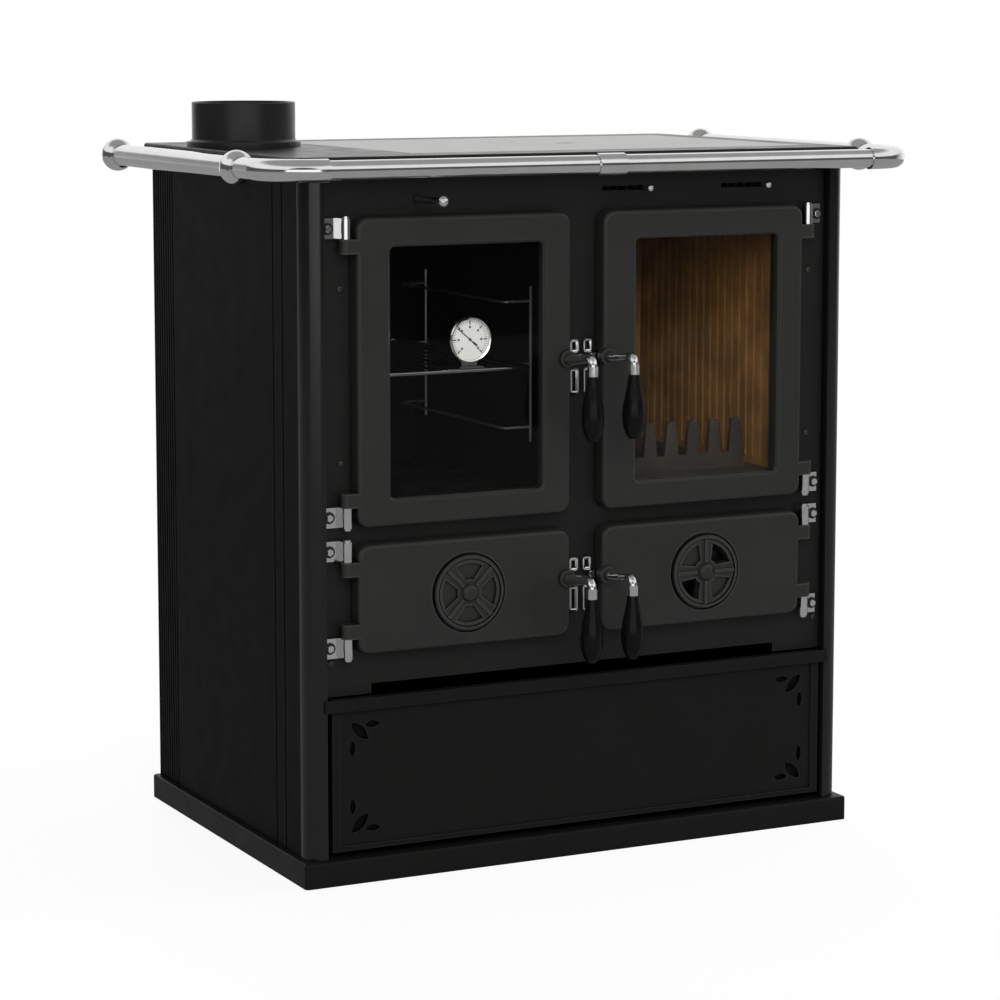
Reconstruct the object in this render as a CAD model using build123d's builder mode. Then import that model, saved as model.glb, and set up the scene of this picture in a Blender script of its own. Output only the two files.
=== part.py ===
from build123d import *
import os

# A free-standing wood cookstove. The origin is on the floor under the middle of the body.
# X runs to the right, the doors face -Y, and Z is up. Millimetres.

# Overall sizes
body_w = 736.0
body_d = 495.0
hob_z = 860.0
hob_t = 20.0
plinth_h = 30.0
plinth_out = 8.0
plinth_wall = 26.0

# Sheet, casting and clearance sizes
sheet = 4.0
thin_sheet = 2.0
plate_t = 8.0
seat_gap = 0.3
slide_gap = 0.3
pin_gap = 0.05

# Posts and front plate
post_w = 25.0
post_r = 20.0
plate_recess = 12.0
plate_z0 = 224.0

# Doors
door_t = 20.5
door_proud = 10.0
door_round = 5.0
door_corner = 15.0
left_door_in = 61.0
left_door_w = 280.5
right_door_in = 68.5
right_door_w = 281.5
upper_z0 = 426.0
upper_h = 363.0
lower_z0 = 275.5
lower_h = 130.0
opening_in = 30.0
low_opening_in = 20.0
face_wall = 7.0
window_w = 201.0
window_z0 = 458.0
window_h = 296.5
oven_window_in = 42.5
fire_window_in = 45.5
glass_t = 4.0
glass_lap = 4.5
seal_w = 6.0
seal_in = 23.5
low_seal_in = 13.5
seal_depth = 4.5
seal_gap = 0.1
back_pocket = 8.5
window_bevel = 3.0
upper_ear_in = 24.5
lower_ear_in = 19.5

# Hinges
hinge_off = 11.0
hinge_front = 2.0
ear_r = 8.0
ear_h = 17.0
knuckle_r = 6.0
knuckle_h = 24.0
pin_r = 3.0

# Latches and handles
latch_in = 5.5
upper_latch_z = 613.0
lower_latch_z = 346.0
shaft_r = 4.0
latch_boss_r = 10.0
boss_proud = 4.0
boss_seat = 8.0
pocket_y = 10.0
hub_lever_r = 6.4
tongue_len = 18.0
tongue_t = 5.0
arm_r = 5.5
arm_reach = 65.0
arm_rise = 7.0
ferrule_r = 6.8
ferrule_h = 20.0
grip_h = 77.0
grip_r = 13.75

# Rosettes on the two lower doors
rosette_r = 45.5
rosette_ring = 3.0
rosette_z = 339.3
rosette_shift = 3.0
rosette_proud = 4.0
axle_r = 4.0

# Hob
hob_over = 13.0
hob_corner = 10.0
hob_round = 3.0
hob_split = 160.0
split_gap = 1.0
cook_x0 = 162.0
cook_x1 = 710.0
cook_in = 50.0
cook_t = 12.0
ledge = 10.0
ring_x = 512.0
ring_r1 = 134.0
ring_r2 = 108.0
ring_r3 = 85.0
ring_gap = 0.5
flue_x = 64.0
flue_y = 341.0
pipe_r = 60.5
collar_wall = 4.0
collar_top = 55.0
flange_r = 71.0
flange_t = 6.0

# Towel rail
rail_z = 847.0
rail_front_r = 11.5
rail_side_r = 13.5
rail_wall = 2.0
rail_fwd = 56.0
rail_side = 59.0
rail_bend = 56.0
rail_stub = 7.0
ball_r = 20.5
ball_front_y = 62.0
ball_back_y = 461.0
neck_r = 7.0
sleeve_w = 36.0

# Oven and fire
oven_x0 = 62.0
oven_w = 283.0
oven_d = 420.0
oven_z0 = 437.0
oven_h = 338.0
shelf_z = 600.0
fire_x0 = 387.0
fire_w = 288.0
fire_d = 380.0
lining_t = 25.0
fire_floor = 440.0
hearth_h = 11.0
grate_w = 200.0
grate_d = 180.0
chamber_z0 = 291.5
smoke_z = 790.0
wire_r = 3.0
dial_r = 27.5

# Drawer
drawer_z0 = 38.5
drawer_top = 222.3
drawer_gap = 6.0
drawer_front_t = 6.0
strip_w = 10.0
lip_h = 15.0
lip_over = 5.0
box_d = 430.0
box_h = 140.0
runner_z = 48.0

# Damper and air sliders
damper_x = 147.0
damper_z = 808.5
damper_out = 60.0
damper_r = 4.0
air_z = 814.5
air_h = 6.0
air_w = 61.0
air_x1 = 394.0
air_x2 = 560.5

# Planes worked out from the sizes
left = -body_w / 2
right = body_w / 2
front = -body_d / 2
back = body_d / 2
body_top = hob_z - hob_t
plate_front = front + plate_recess
plate_back = plate_front + plate_t
door_front = front - door_proud
door_back = door_front + door_t
hinge_y = front - hinge_front
inner_back = back - 2 * sheet

os.makedirs("parts", exist_ok=True)


def save(piece, name):
    """Label a finished piece and write it as its own STEP file."""
    piece.part.label = name
    export_step(piece.part, f"parts/{name}.step")


def facing(y):
    """The plane that looks to the front at depth y: sketch x is X and sketch y is Z."""
    return Plane.XZ.offset(-y)


def block(x0, x1, y0, y1, z0, z1, mode=Mode.ADD):
    """A box between two corners, in the part that is being built."""
    with Locations((x0, y0, z0)):
        Box(x1 - x0, y1 - y0, z1 - z0, align=(Align.MIN, Align.MIN, Align.MIN), mode=mode)


def span(x0, x1, z0, z1, radius=0.0, mode=Mode.ADD):
    """A rectangle between two corners, in the sketch that is being drawn."""
    with Locations(((x0 + x1) / 2, (z0 + z1) / 2)):
        if radius:
            RectangleRounded(x1 - x0, z1 - z0, radius, mode=mode)
        else:
            Rectangle(x1 - x0, z1 - z0, mode=mode)


# Plinth: a frame of boards, with the base plate between them on the floor
plinth_x = body_w / 2 + plinth_out
plinth_y = body_d / 2 + plinth_out
with BuildPart() as plinth:
    with BuildSketch():
        RectangleRounded(2 * plinth_x, 2 * plinth_y, 5)
        Rectangle(2 * (plinth_x - plinth_wall), 2 * (plinth_y - plinth_wall), mode=Mode.SUBTRACT)
    extrude(amount=plinth_h)
    fillet(plinth.faces().sort_by(Axis.Z)[-1].outer_wire().edges(), 3)
save(plinth, "plinth")

floor_x = plinth_x - plinth_wall
floor_y = plinth_y - plinth_wall
with BuildPart() as base_plate:
    block(-floor_x, floor_x, -floor_y, floor_y, 0, thin_sheet + 1)
save(base_plate, "base_plate")


# Side panels: one sheet each, rolled round the front corner into a post, with pressed flutes
flute_back = [back - 5 - 8 * n for n in range(9)]
flute_front = [front + 70, front + 98]


def side_panel(side):
    with BuildPart() as panel:
        with BuildSketch(Plane.XY.offset(plinth_h)):
            with BuildLine():
                FilletPolyline(
                    (side * body_w / 2, back),
                    (side * body_w / 2, front),
                    (side * (body_w / 2 - post_w), front),
                    (side * (body_w / 2 - post_w), plate_front + sheet),
                    radius=(post_r, 3),
                )
                offset(amount=sheet, side=Side.LEFT if side < 0 else Side.RIGHT)
            make_face()
        extrude(amount=body_top - plinth_h)
        for y in flute_back + flute_front:
            block(side * body_w / 2 - 1.2, side * body_w / 2 + 1.2, y - 1.5, y + 1.5, plinth_h, body_top, Mode.SUBTRACT)
    return panel


side_panel_left = side_panel(-1)
save(side_panel_left, "side_panel_left")
side_panel_right = side_panel(1)
save(side_panel_right, "side_panel_right")

# Back panel, with two rows of convection slots
with BuildPart() as back_panel:
    with BuildSketch(facing(inner_back + sheet)):
        span(left + sheet, right - sheet, plinth_h, body_top)
        for z in (plinth_h + 70, body_top - 60):
            with Locations((0, z)):
                with GridLocations(60, 0, 9, 1):
                    SlotOverall(40, 8, mode=Mode.SUBTRACT)
    extrude(amount=sheet)
save(back_panel, "back_panel")


# Door places: hinge-side edge, free edge, bottom and top of each door leaf
class DoorPlace:
    def __init__(self, side, edge_in, width, z0, height, inset_z, seal_z, ear_in, latch_z):
        self.side = side
        self.hinge_edge = side * (body_w / 2 - edge_in)
        self.free_edge = self.hinge_edge - side * width
        self.x0 = min(self.hinge_edge, self.free_edge)
        self.x1 = max(self.hinge_edge, self.free_edge)
        self.z0 = z0
        self.z1 = z0 + height
        self.inset_z = inset_z
        self.seal_z = seal_z
        self.ear_in = ear_in
        self.axis_x = self.hinge_edge + side * hinge_off
        self.latch_x = self.free_edge + side * latch_in
        self.latch_z = latch_z
        self.rosette_x = (self.x0 + self.x1) / 2 + rosette_shift


upper = (upper_z0, upper_h, opening_in, seal_in, upper_ear_in, upper_latch_z)
lower = (lower_z0, lower_h, low_opening_in, low_seal_in, lower_ear_in, lower_latch_z)
oven_place = DoorPlace(-1, left_door_in, left_door_w, *upper)
fire_place = DoorPlace(1, right_door_in, right_door_w, *upper)
soot_place = DoorPlace(-1, left_door_in, left_door_w, *lower)
ash_place = DoorPlace(1, right_door_in, right_door_w, *lower)
places = [oven_place, fire_place, soot_place, ash_place]

oven_window_x0 = oven_place.x0 + oven_window_in
fire_window_x0 = fire_place.x0 + fire_window_in
air_slots = [left + air_x1, left + air_x2]
plate_rib = 5.0

# Front plate: one casting with the four mouths, the air slots and the ribs that guide the air sliders
with BuildPart() as front_plate:
    with BuildSketch(facing(plate_back)):
        span(left + post_w, right - post_w, plate_z0, body_top)
        for p in places:
            span(p.x0 + opening_in, p.x1 - opening_in, p.z0 + p.inset_z, p.z1 - p.inset_z, 8, Mode.SUBTRACT)
        for x in air_slots:
            with Locations((x + air_w / 2, air_z)):
                SlotOverall(air_w, air_h, mode=Mode.SUBTRACT)
        with Locations((left + damper_x, damper_z)):
            Circle(damper_r + slide_gap, mode=Mode.SUBTRACT)
        span(left + 86, left + 643, plate_z0, plate_z0 + 12, mode=Mode.SUBTRACT)
    extrude(amount=plate_t)
    for x in air_slots:
        for side in (-1, 1):
            rib_z = air_z + side * (8.5 + slide_gap + plate_rib / 2)
            lip_z = rib_z - side * 3
            block(x - 58, x + air_w + 6, plate_back, plate_back + 5, rib_z - plate_rib / 2, rib_z + plate_rib / 2)
            block(x - 58, x + air_w + 6, plate_back + 2.6, plate_back + 5, lip_z - plate_rib / 2, lip_z + plate_rib / 2)
save(front_plate, "front_plate")


# Air sliders: a plate behind each slot, and a ball knob on a stem through it
def air_slider(slot_x):
    with BuildPart() as slider:
        block(slot_x - 4, slot_x + air_w + 4, plate_back + slide_gap, plate_back + 2.3, air_z - 8.5, air_z + 8.5)
        with BuildSketch(facing(plate_back + 2.3)):
            with Locations((slot_x + air_w / 2 - 4, air_z)):
                with GridLocations(12, 0, 4, 1):
                    SlotOverall(8, 5, mode=Mode.ADD)
        extrude(amount=3, mode=Mode.SUBTRACT)
        with BuildSketch(facing(plate_back + 1)):
            with Locations((slot_x + air_w - 5, air_z)):
                Circle(2)
        extrude(amount=plate_back + 1 - (front - 6))
        with Locations((slot_x + air_w - 5, front - 8, air_z)):
            Sphere(4.5)
    return slider


primary_air_slider = air_slider(air_slots[1])
save(primary_air_slider, "primary_air_slider")
secondary_air_slider = air_slider(air_slots[0])
save(secondary_air_slider, "secondary_air_slider")

# Hob, left part: the plate that carries the flue
hob_front = front - hob_over
hob_back = back + 3
flue = (left + flue_x, front + flue_y)
split_x = left + hob_split
with BuildPart() as hob_flue_plate:
    with BuildSketch(Plane.XY.offset(body_top)):
        span(left - hob_over, split_x - split_gap / 2, hob_front, hob_back)
    extrude(amount=hob_t)
    fillet(hob_flue_plate.edges().filter_by(Axis.Z).group_by(Axis.X)[0], hob_corner)
    fillet(hob_flue_plate.faces().sort_by(Axis.Z)[-1].edges().sort_by(Axis.X)[:-1], hob_round)
    with BuildSketch(Plane.XY.offset(body_top)):
        with Locations(flue):
            Circle(pipe_r + collar_wall + ring_gap)
    extrude(amount=hob_t, mode=Mode.SUBTRACT)
save(hob_flue_plate, "hob_flue_plate")

# Flue collar: a turned socket for a 120 mm pipe, with a flange that sits on the hob
with BuildPart() as flue_collar:
    with BuildSketch(Plane((flue[0], flue[1], hob_z), x_dir=(1, 0, 0), z_dir=(0, -1, 0))):
        with BuildLine():
            Polyline(
                (pipe_r, -hob_t),
                (pipe_r, collar_top - 1),
                (pipe_r + 1, collar_top),
                (pipe_r + collar_wall - 1, collar_top),
                (pipe_r + collar_wall, collar_top - 1),
                (pipe_r + collar_wall, flange_t + 3),
                (pipe_r + collar_wall + 3, flange_t),
                (flange_r, flange_t),
                (flange_r, 0),
                (pipe_r + collar_wall, 0),
                (pipe_r + collar_wall, -hob_t),
                close=True,
            )
        make_face()
    revolve(axis=Axis((flue[0], flue[1], 0), (0, 0, 1)))
save(flue_collar, "flue_collar")

# Hob, right part: a frame open to the left, with a ledge under the cooking plate
cook_y0 = front + cook_in
cook_y1 = back - cook_in
with BuildPart() as hob_frame:
    with BuildSketch(Plane.XY.offset(body_top)):
        span(split_x + split_gap / 2, right + hob_over, hob_front, hob_back)
    extrude(amount=hob_t)
    fillet(hob_frame.edges().filter_by(Axis.Z).group_by(Axis.X)[-1], hob_corner)
    fillet(hob_frame.faces().sort_by(Axis.Z)[-1].edges().sort_by(Axis.X)[1:], hob_round)
    block(split_x, left + cook_x1, cook_y0, cook_y1, hob_z - cook_t, hob_z, Mode.SUBTRACT)
    block(split_x, left + cook_x1 - ledge, cook_y0 + ledge, cook_y1 - ledge, body_top, hob_z, Mode.SUBTRACT)
save(hob_frame, "hob_frame")

# Cooking plate and its rings: each has a ledge for the next one in
ring_centre = (left + ring_x, 0)
ring_step = 6.0


def stepped_hole(radius):
    """A hole with a ledge half way down, in the plate that is being built."""
    with Locations((ring_centre[0], ring_centre[1], hob_z)):
        CounterBoreHole(radius - ring_step, radius, cook_t / 2)


with BuildPart() as cooking_plate:
    with BuildSketch(Plane.XY.offset(hob_z - cook_t)):
        span(left + cook_x0, left + cook_x1 - ring_gap, cook_y0 + ring_gap, cook_y1 - ring_gap)
    extrude(amount=cook_t)
    chamfer(cooking_plate.faces().sort_by(Axis.Z)[-1].edges(), 0.8)
    stepped_hole(ring_r1)
save(cooking_plate, "cooking_plate")


def ring(radius, hole):
    with BuildPart() as plate:
        with Locations((ring_centre[0], ring_centre[1], hob_z)):
            Cylinder(radius - ring_gap, cook_t / 2, align=(Align.CENTER, Align.CENTER, Align.MAX))
        with Locations((ring_centre[0], ring_centre[1], hob_z - cook_t / 2)):
            Cylinder(radius - ring_step - ring_gap, cook_t / 2, align=(Align.CENTER, Align.CENTER, Align.MAX))
        if hole:
            stepped_hole(hole)
    return plate


ring_outer = ring(ring_r1, ring_r2)
save(ring_outer, "ring_outer")
ring_middle = ring(ring_r2, ring_r3)
save(ring_middle, "ring_middle")
ring_lid = ring(ring_r3, 0)
with BuildPart() as ring_lid_cut:
    add(ring_lid.part)
    with Locations((ring_centre[0] - ring_r3 / 2, 0, hob_z)):
        Box(26, 12, 2 * ring_step, mode=Mode.SUBTRACT)
save(ring_lid_cut, "ring_lid")

# Towel rail: a front tube, two side tubes bent round the corners, ball supports and a middle sleeve
rail_y = front - rail_fwd
rail_x = body_w / 2 + rail_side
joint_x = rail_x - rail_bend - rail_stub
socket = 6.0
bore_gap = 0.1
with BuildPart() as rail_front:
    with Locations(Location((0, rail_y, rail_z), (0, 90, 0))):
        Cylinder(rail_front_r, 2 * (joint_x + socket))
        Cylinder(rail_front_r - rail_wall, 2 * (joint_x + socket), mode=Mode.SUBTRACT)
save(rail_front, "rail_front")


def rail_tube(side):
    with BuildPart() as tube:
        with BuildLine() as route:
            FilletPolyline(
                (side * joint_x, rail_y, rail_z),
                (side * rail_x, rail_y, rail_z),
                (side * rail_x, front + ball_back_y, rail_z),
                radius=rail_bend,
            )
        with BuildSketch(Plane(route.line @ 0, z_dir=route.line % 0)):
            Circle(rail_side_r)
            Circle(rail_front_r + bore_gap, mode=Mode.SUBTRACT)
        sweep()
    return tube


rail_left = rail_tube(-1)
save(rail_left, "rail_left")
rail_right = rail_tube(1)
save(rail_right, "rail_right")

with BuildPart() as rail_balls:
    for side in (-1, 1):
        for y in (ball_front_y, ball_back_y):
            reach = rail_side - hob_over
            with Locations((side * rail_x, front + y, rail_z)):
                Sphere(ball_r)
            turned = Location((side * (rail_x - reach / 2), front + y, rail_z), (0, 90, 0))
            with Locations(turned):
                Cylinder(neck_r, reach)
            foot = Location((side * (rail_x - reach + 2), front + y, rail_z), (0, 90, 0))
            with Locations(foot):
                Cylinder(9, 4)
        for y, length in ((ball_front_y, 3 * ball_r), (ball_back_y - ball_r, 2 * ball_r)):
            with Locations(Location((side * rail_x, front + y, rail_z), (90, 0, 0))):
                Cylinder(rail_side_r + bore_gap, length, mode=Mode.SUBTRACT)
save(rail_balls, "rail_balls")

with BuildPart() as rail_sleeve:
    with Locations(Location((0, rail_y, rail_z), (0, 90, 0))):
        Cylinder(rail_side_r, sleeve_w)
        Cylinder(rail_front_r + bore_gap, sleeve_w, mode=Mode.SUBTRACT)
    with BuildSketch(facing(hob_front)):
        with Locations((0, rail_z)):
            Circle(6)
    extrude(amount=rail_fwd - hob_over - rail_side_r + 1)
    with BuildSketch(facing(hob_front)):
        with Locations((0, rail_z)):
            Circle(9)
    extrude(amount=3)
save(rail_sleeve, "rail_sleeve")

# Oven: a welded box, wire guides on its walls, a wire shelf and a standing thermometer
oven_left = left + oven_x0
oven_right = oven_left + oven_w
oven_back = plate_back + oven_d
with BuildPart() as oven_box:
    block(oven_left - thin_sheet, oven_right + thin_sheet, plate_back, oven_back + thin_sheet,
          oven_z0 - thin_sheet, oven_z0 + oven_h + thin_sheet)
    offset(amount=-thin_sheet, openings=oven_box.faces().sort_by(Axis.Y)[0])
save(oven_box, "oven_box")

shelf_x0 = oven_place.x0 + opening_in + 2
shelf_x1 = oven_place.x1 - opening_in - 2
guide_rows = [shelf_z - 78, shelf_z, shelf_z + 78]
guide_y0 = front + 100
guide_y1 = front + 400
with BuildPart() as shelf_guides:
    for wall, foot in ((oven_left, shelf_x0 + 8), (oven_right, shelf_x1 - 8)):
        for z in guide_rows:
            block(min(wall, foot), max(wall, foot), guide_y0, guide_y0 + wire_r, z - 2 * wire_r, z - wire_r)
            block(min(wall, foot), max(wall, foot), guide_y1, guide_y1 + wire_r, z - 2 * wire_r, z - wire_r)
            block(foot - wire_r / 2, foot + wire_r / 2, guide_y0, guide_y1 + wire_r, z - 2 * wire_r, z - wire_r)
        for y in (guide_y0, guide_y1):
            inside = wall if wall < foot else wall - wire_r
            block(inside, inside + wire_r, y, y + wire_r, guide_rows[0] - 20, guide_rows[-1] + 20)
save(shelf_guides, "shelf_guides")

shelf_y0 = plate_back + 10
with BuildPart() as oven_shelf:
    with BuildSketch(Plane.XY.offset(shelf_z - wire_r)):
        span(shelf_x0, shelf_x1, shelf_y0, guide_y1 + 15, 8)
        span(shelf_x0 + 6, shelf_x1 - 6, shelf_y0 + 6, guide_y1 + 9, 4, Mode.SUBTRACT)
    extrude(amount=6)
    with BuildSketch(Plane.XY.offset(shelf_z - wire_r + 1)):
        with Locations(((shelf_x0 + shelf_x1) / 2, (shelf_y0 + guide_y1 + 15) / 2)):
            with GridLocations(19, 0, 10, 1):
                Rectangle(4, guide_y1 + 12 - shelf_y0)
    extrude(amount=4)
save(oven_shelf, "oven_shelf")

dial_x = left + 228
dial_y = plate_back + 16
dial_z = shelf_z + 37
with BuildPart() as thermometer:
    with BuildSketch(facing(dial_y + 8)):
        with Locations((dial_x, dial_z)):
            Circle(dial_r)
    extrude(amount=8)
    with BuildSketch(facing(dial_y)):
        with Locations((dial_x, dial_z)):
            Circle(dial_r - 3)
    extrude(amount=-1.5, mode=Mode.SUBTRACT)
    block(dial_x - 10, dial_x + 10, dial_y + 2, dial_y + 7, shelf_z + wire_r + 2, dial_z - dial_r + 4)
    block(dial_x - 16, dial_x + 16, dial_y - 4, dial_y + 14, shelf_z + wire_r, shelf_z + wire_r + 2)
save(thermometer, "thermometer")

# Soot and ash chambers: open to the front, with the oven and the fire over them
fire_left = left + fire_x0
fire_right = fire_left + fire_w
fire_back = plate_back + fire_d
chamber_floor = chamber_z0 + sheet
with BuildPart() as lower_chambers:
    for x0, x1, y1, z1 in (
        (oven_left, oven_right, oven_back, oven_z0 - thin_sheet),
        (fire_left, fire_right, fire_back, fire_floor),
    ):
        block(x0 - sheet, x1 + sheet, plate_back, y1, chamber_z0, z1)
        block(x0, x1, plate_back, y1 - sheet, chamber_floor, z1, Mode.SUBTRACT)
save(lower_chambers, "lower_chambers")

# Firebox: a steel shell, open to the top and the front, with its floor cut for the grate
grate_x = (fire_left + fire_right) / 2
grate_y = plate_back + 20 + 60 + grate_d / 2
with BuildPart() as firebox_shell:
    block(fire_left - sheet, fire_right + sheet, plate_back, fire_back, fire_floor, smoke_z)
    block(fire_left, fire_right, plate_back, fire_back - sheet, fire_floor + sheet, smoke_z, Mode.SUBTRACT)
    block(grate_x - grate_w / 2 + 8, grate_x + grate_w / 2 - 8, grate_y - grate_d / 2 + 8,
          grate_y + grate_d / 2 - 8, fire_floor, fire_floor + sheet, Mode.SUBTRACT)
save(firebox_shell, "firebox_shell")

# Lining: two side slabs and a back slab, with flutes cast into the fire side
hearth_z = fire_floor + sheet
lining_top = smoke_z - 6
flute_pitch = 18.0
with BuildPart() as fire_lining:
    for wall, face in ((fire_left, fire_left + lining_t), (fire_right, fire_right - lining_t)):
        block(min(wall, face), max(wall, face), plate_back, fire_back - sheet, hearth_z, lining_top)
        count = int((fire_d - sheet - lining_t - 20) / flute_pitch)
        for n in range(count):
            y = plate_back + 20 + n * flute_pitch
            block(face - 4, face + 4, y - 3, y + 3, hearth_z + hearth_h + 10, lining_top, Mode.SUBTRACT)
    face = fire_back - sheet - lining_t
    block(fire_left + lining_t, fire_right - lining_t, face, fire_back - sheet, hearth_z, lining_top)
    count = int((fire_w - 2 * lining_t) / flute_pitch)
    for n in range(count):
        x = grate_x + (n - (count - 1) / 2) * flute_pitch
        block(x - 3, x + 3, face - 4, face + 4, hearth_z + hearth_h + 10, lining_top, Mode.SUBTRACT)
save(fire_lining, "fire_lining")

# Hearth round the grate, the grate itself, and the comb that keeps the logs off the glass
with BuildPart() as hearth:
    block(fire_left + lining_t, fire_right - lining_t, plate_back, fire_back - sheet - lining_t,
          hearth_z, hearth_z + hearth_h)
    block(grate_x - grate_w / 2 - 0.5, grate_x + grate_w / 2 + 0.5, grate_y - grate_d / 2 - 0.5,
          grate_y + grate_d / 2 + 0.5, hearth_z, hearth_z + hearth_h, Mode.SUBTRACT)
save(hearth, "hearth")

with BuildPart() as grate:
    with BuildSketch(Plane.XY.offset(hearth_z)):
        with Locations((grate_x, grate_y)):
            RectangleRounded(grate_w, grate_d, 4)
            with GridLocations(16, 0, 11, 1):
                SlotOverall(grate_d - 24, 8, rotation=90, mode=Mode.SUBTRACT)
    extrude(amount=hearth_h)
save(grate, "grate")

comb_w = 207.0
comb_y = front + 80
comb_z0 = hearth_z + hearth_h
with BuildPart() as log_retainer:
    with BuildSketch(facing(comb_y + 4)):
        span(grate_x - comb_w / 2, grate_x + comb_w / 2, comb_z0, comb_z0 + 10)
        with Locations((grate_x, comb_z0 + 33)):
            with GridLocations((comb_w - 9) / 8, 0, 9, 1):
                RectangleRounded(9, 56, 4)
    extrude(amount=8)
    block(grate_x - comb_w / 2, grate_x + comb_w / 2, comb_y - 9, comb_y + 9, comb_z0, comb_z0 + 4)
save(log_retainer, "log_retainer")

# Ash pan: a tray that slides on the chamber floor and comes out through the ash door
pan_x0 = ash_place.x0 + opening_in + 4
pan_x1 = ash_place.x1 - opening_in - 4
pan_y0 = plate_back + 14
pan_z1 = chamber_floor + 80
with BuildPart() as ash_pan:
    block(pan_x0, pan_x1, pan_y0, pan_y0 + 300, chamber_floor, pan_z1)
    offset(amount=-thin_sheet, openings=ash_pan.faces().sort_by(Axis.Z)[-1])
    with BuildSketch(facing(pan_y0)):
        with Locations(((pan_x0 + pan_x1) / 2, chamber_floor + 52)):
            RectangleRounded(90, 24, 8)
            RectangleRounded(74, 12, 4, mode=Mode.SUBTRACT)
    extrude(amount=8)
save(ash_pan, "ash_pan")

# Heat shield over the drawer, and the smoke shelf between the oven and the hob
shield_z = plate_z0 + 16
with BuildPart() as heat_shield:
    block(left + sheet, right - sheet, plate_back, inner_back, shield_z, shield_z + thin_sheet)
save(heat_shield, "heat_shield")

damper_w = 150.0
slot_d = 45.0
port_y0 = front + 200
with BuildPart() as smoke_shelf:
    block(left + sheet, fire_left, plate_back, inner_back, smoke_z, smoke_z + 3)
    block(left + damper_x - 60, left + damper_x + 60, port_y0, port_y0 + slot_d, smoke_z, smoke_z + 3, Mode.SUBTRACT)
save(smoke_shelf, "smoke_shelf")

# Damper: a ball-ended rod through the front plate, with the slide plate that closes the port
with BuildPart() as damper:
    with BuildSketch(facing(port_y0 - 10)):
        with Locations((left + damper_x, damper_z)):
            Circle(damper_r)
    extrude(amount=port_y0 - 10 - (front - damper_out))
    with Locations((left + damper_x, front - damper_out, damper_z)):
        Sphere(6.5)
    block(left + damper_x - 6, left + damper_x + 6, port_y0 - 16, port_y0 - 10, smoke_z + 5, damper_z + 4)
    block(left + damper_x - damper_w / 2, left + damper_x + damper_w / 2, port_y0 - 60, port_y0 - 4,
          smoke_z + 3 + slide_gap, smoke_z + 5 + slide_gap)
save(damper, "damper")


# Door leaves
petal_r = 36.0
hub_r = 16.0
seat_depth = 5.0
petal_turn = 45.0
with BuildSketch() as petal:
    with BuildLine():
        rim_arc = CenterArc((0, 0), petal_r, -29, 58)
        hub_arc = CenterArc((0, 0), hub_r, -18, 36)
        Line(rim_arc @ 0, hub_arc @ 0)
        Line(rim_arc @ 1, hub_arc @ 1)
    make_face()


def petals(count, start):
    """Petal-shaped openings round the middle of the sketch that is being drawn."""
    with PolarLocations(0, count, start_angle=start):
        add(petal.sketch)


def door_leaf(p, window_x0=None):
    """A cast leaf: rounded slab, hinge ears, latch boss and pocket, gasket groove, window or rosette seat."""
    with BuildPart() as leaf:
        with BuildSketch(facing(door_back)):
            span(p.x0, p.x1, p.z0, p.z1, door_corner)
        extrude(amount=door_t)
        fillet(leaf.faces().sort_by(Axis.Y)[0].edges(), door_round)
        inward = p.hinge_edge - p.side * 8
        for z in (p.z0 + p.ear_in, p.z1 - p.ear_in - ear_h):
            with BuildSketch(Plane.XY.offset(z)):
                span(min(p.axis_x, inward), max(p.axis_x, inward), hinge_y - ear_r, hinge_y + ear_r)
                with Locations((p.axis_x, hinge_y)):
                    Circle(ear_r)
                    Circle(pin_r + pin_gap, mode=Mode.SUBTRACT)
            extrude(amount=ear_h)
        with BuildSketch(facing(door_front + boss_seat)):
            with Locations((p.latch_x, p.latch_z)):
                Circle(latch_boss_r)
        extrude(amount=boss_seat + boss_proud)
        with BuildSketch(facing(door_back)):
            outer = p.free_edge - p.side * latch_boss_r
            inner = p.latch_x + p.side * (hub_lever_r + 0.5)
            span(min(outer, inner), max(outer, inner), p.latch_z - tongue_len - 1.5, p.latch_z + hub_lever_r + 0.5)
        extrude(amount=door_t - pocket_y, mode=Mode.SUBTRACT)
        with BuildSketch(facing(door_back)):
            with Locations((p.latch_x, p.latch_z)):
                Circle(shaft_r + pin_gap)
        extrude(amount=2 * door_t, mode=Mode.SUBTRACT)
        with BuildSketch(facing(door_back)):
            lip = seal_w / 2 + seal_gap
            span(p.x0 + seal_in - lip, p.x1 - seal_in + lip, p.z0 + p.seal_z - lip, p.z1 - p.seal_z + lip, 9)
            span(p.x0 + seal_in + lip, p.x1 - seal_in - lip, p.z0 + p.seal_z + lip, p.z1 - p.seal_z - lip, 3,
                 Mode.SUBTRACT)
        extrude(amount=seal_depth, mode=Mode.SUBTRACT)
        if window_x0 is None:
            with BuildSketch(facing(door_back)):
                span(p.x0 + seal_in + 6, p.x1 - seal_in - 6, p.z0 + p.seal_z + 6, p.z1 - p.seal_z - 6, 4)
            extrude(amount=back_pocket, mode=Mode.SUBTRACT)
            with BuildSketch(facing(door_front + seat_depth)):
                with Locations((p.rosette_x, rosette_z)):
                    Circle(rosette_r + rosette_ring)
            extrude(amount=seat_depth, mode=Mode.SUBTRACT)
        else:
            x1 = window_x0 + window_w
            z1 = window_z0 + window_h
            with BuildSketch(facing(door_back)):
                span(window_x0, x1, window_z0, z1, 6)
            extrude(amount=door_t, mode=Mode.SUBTRACT)
            rim = [e for e in leaf.edges() if abs(e.center().Y - door_front) < 0.1
                   and window_x0 - 1 < e.center().X < x1 + 1 and window_z0 - 1 < e.center().Z < z1 + 1]
            chamfer(rim, window_bevel)
            with BuildSketch(facing(door_back)):
                span(window_x0 - glass_lap, x1 + glass_lap, window_z0 - glass_lap, z1 + glass_lap, 4)
            extrude(amount=door_t - face_wall, mode=Mode.SUBTRACT)
    return leaf


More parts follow.
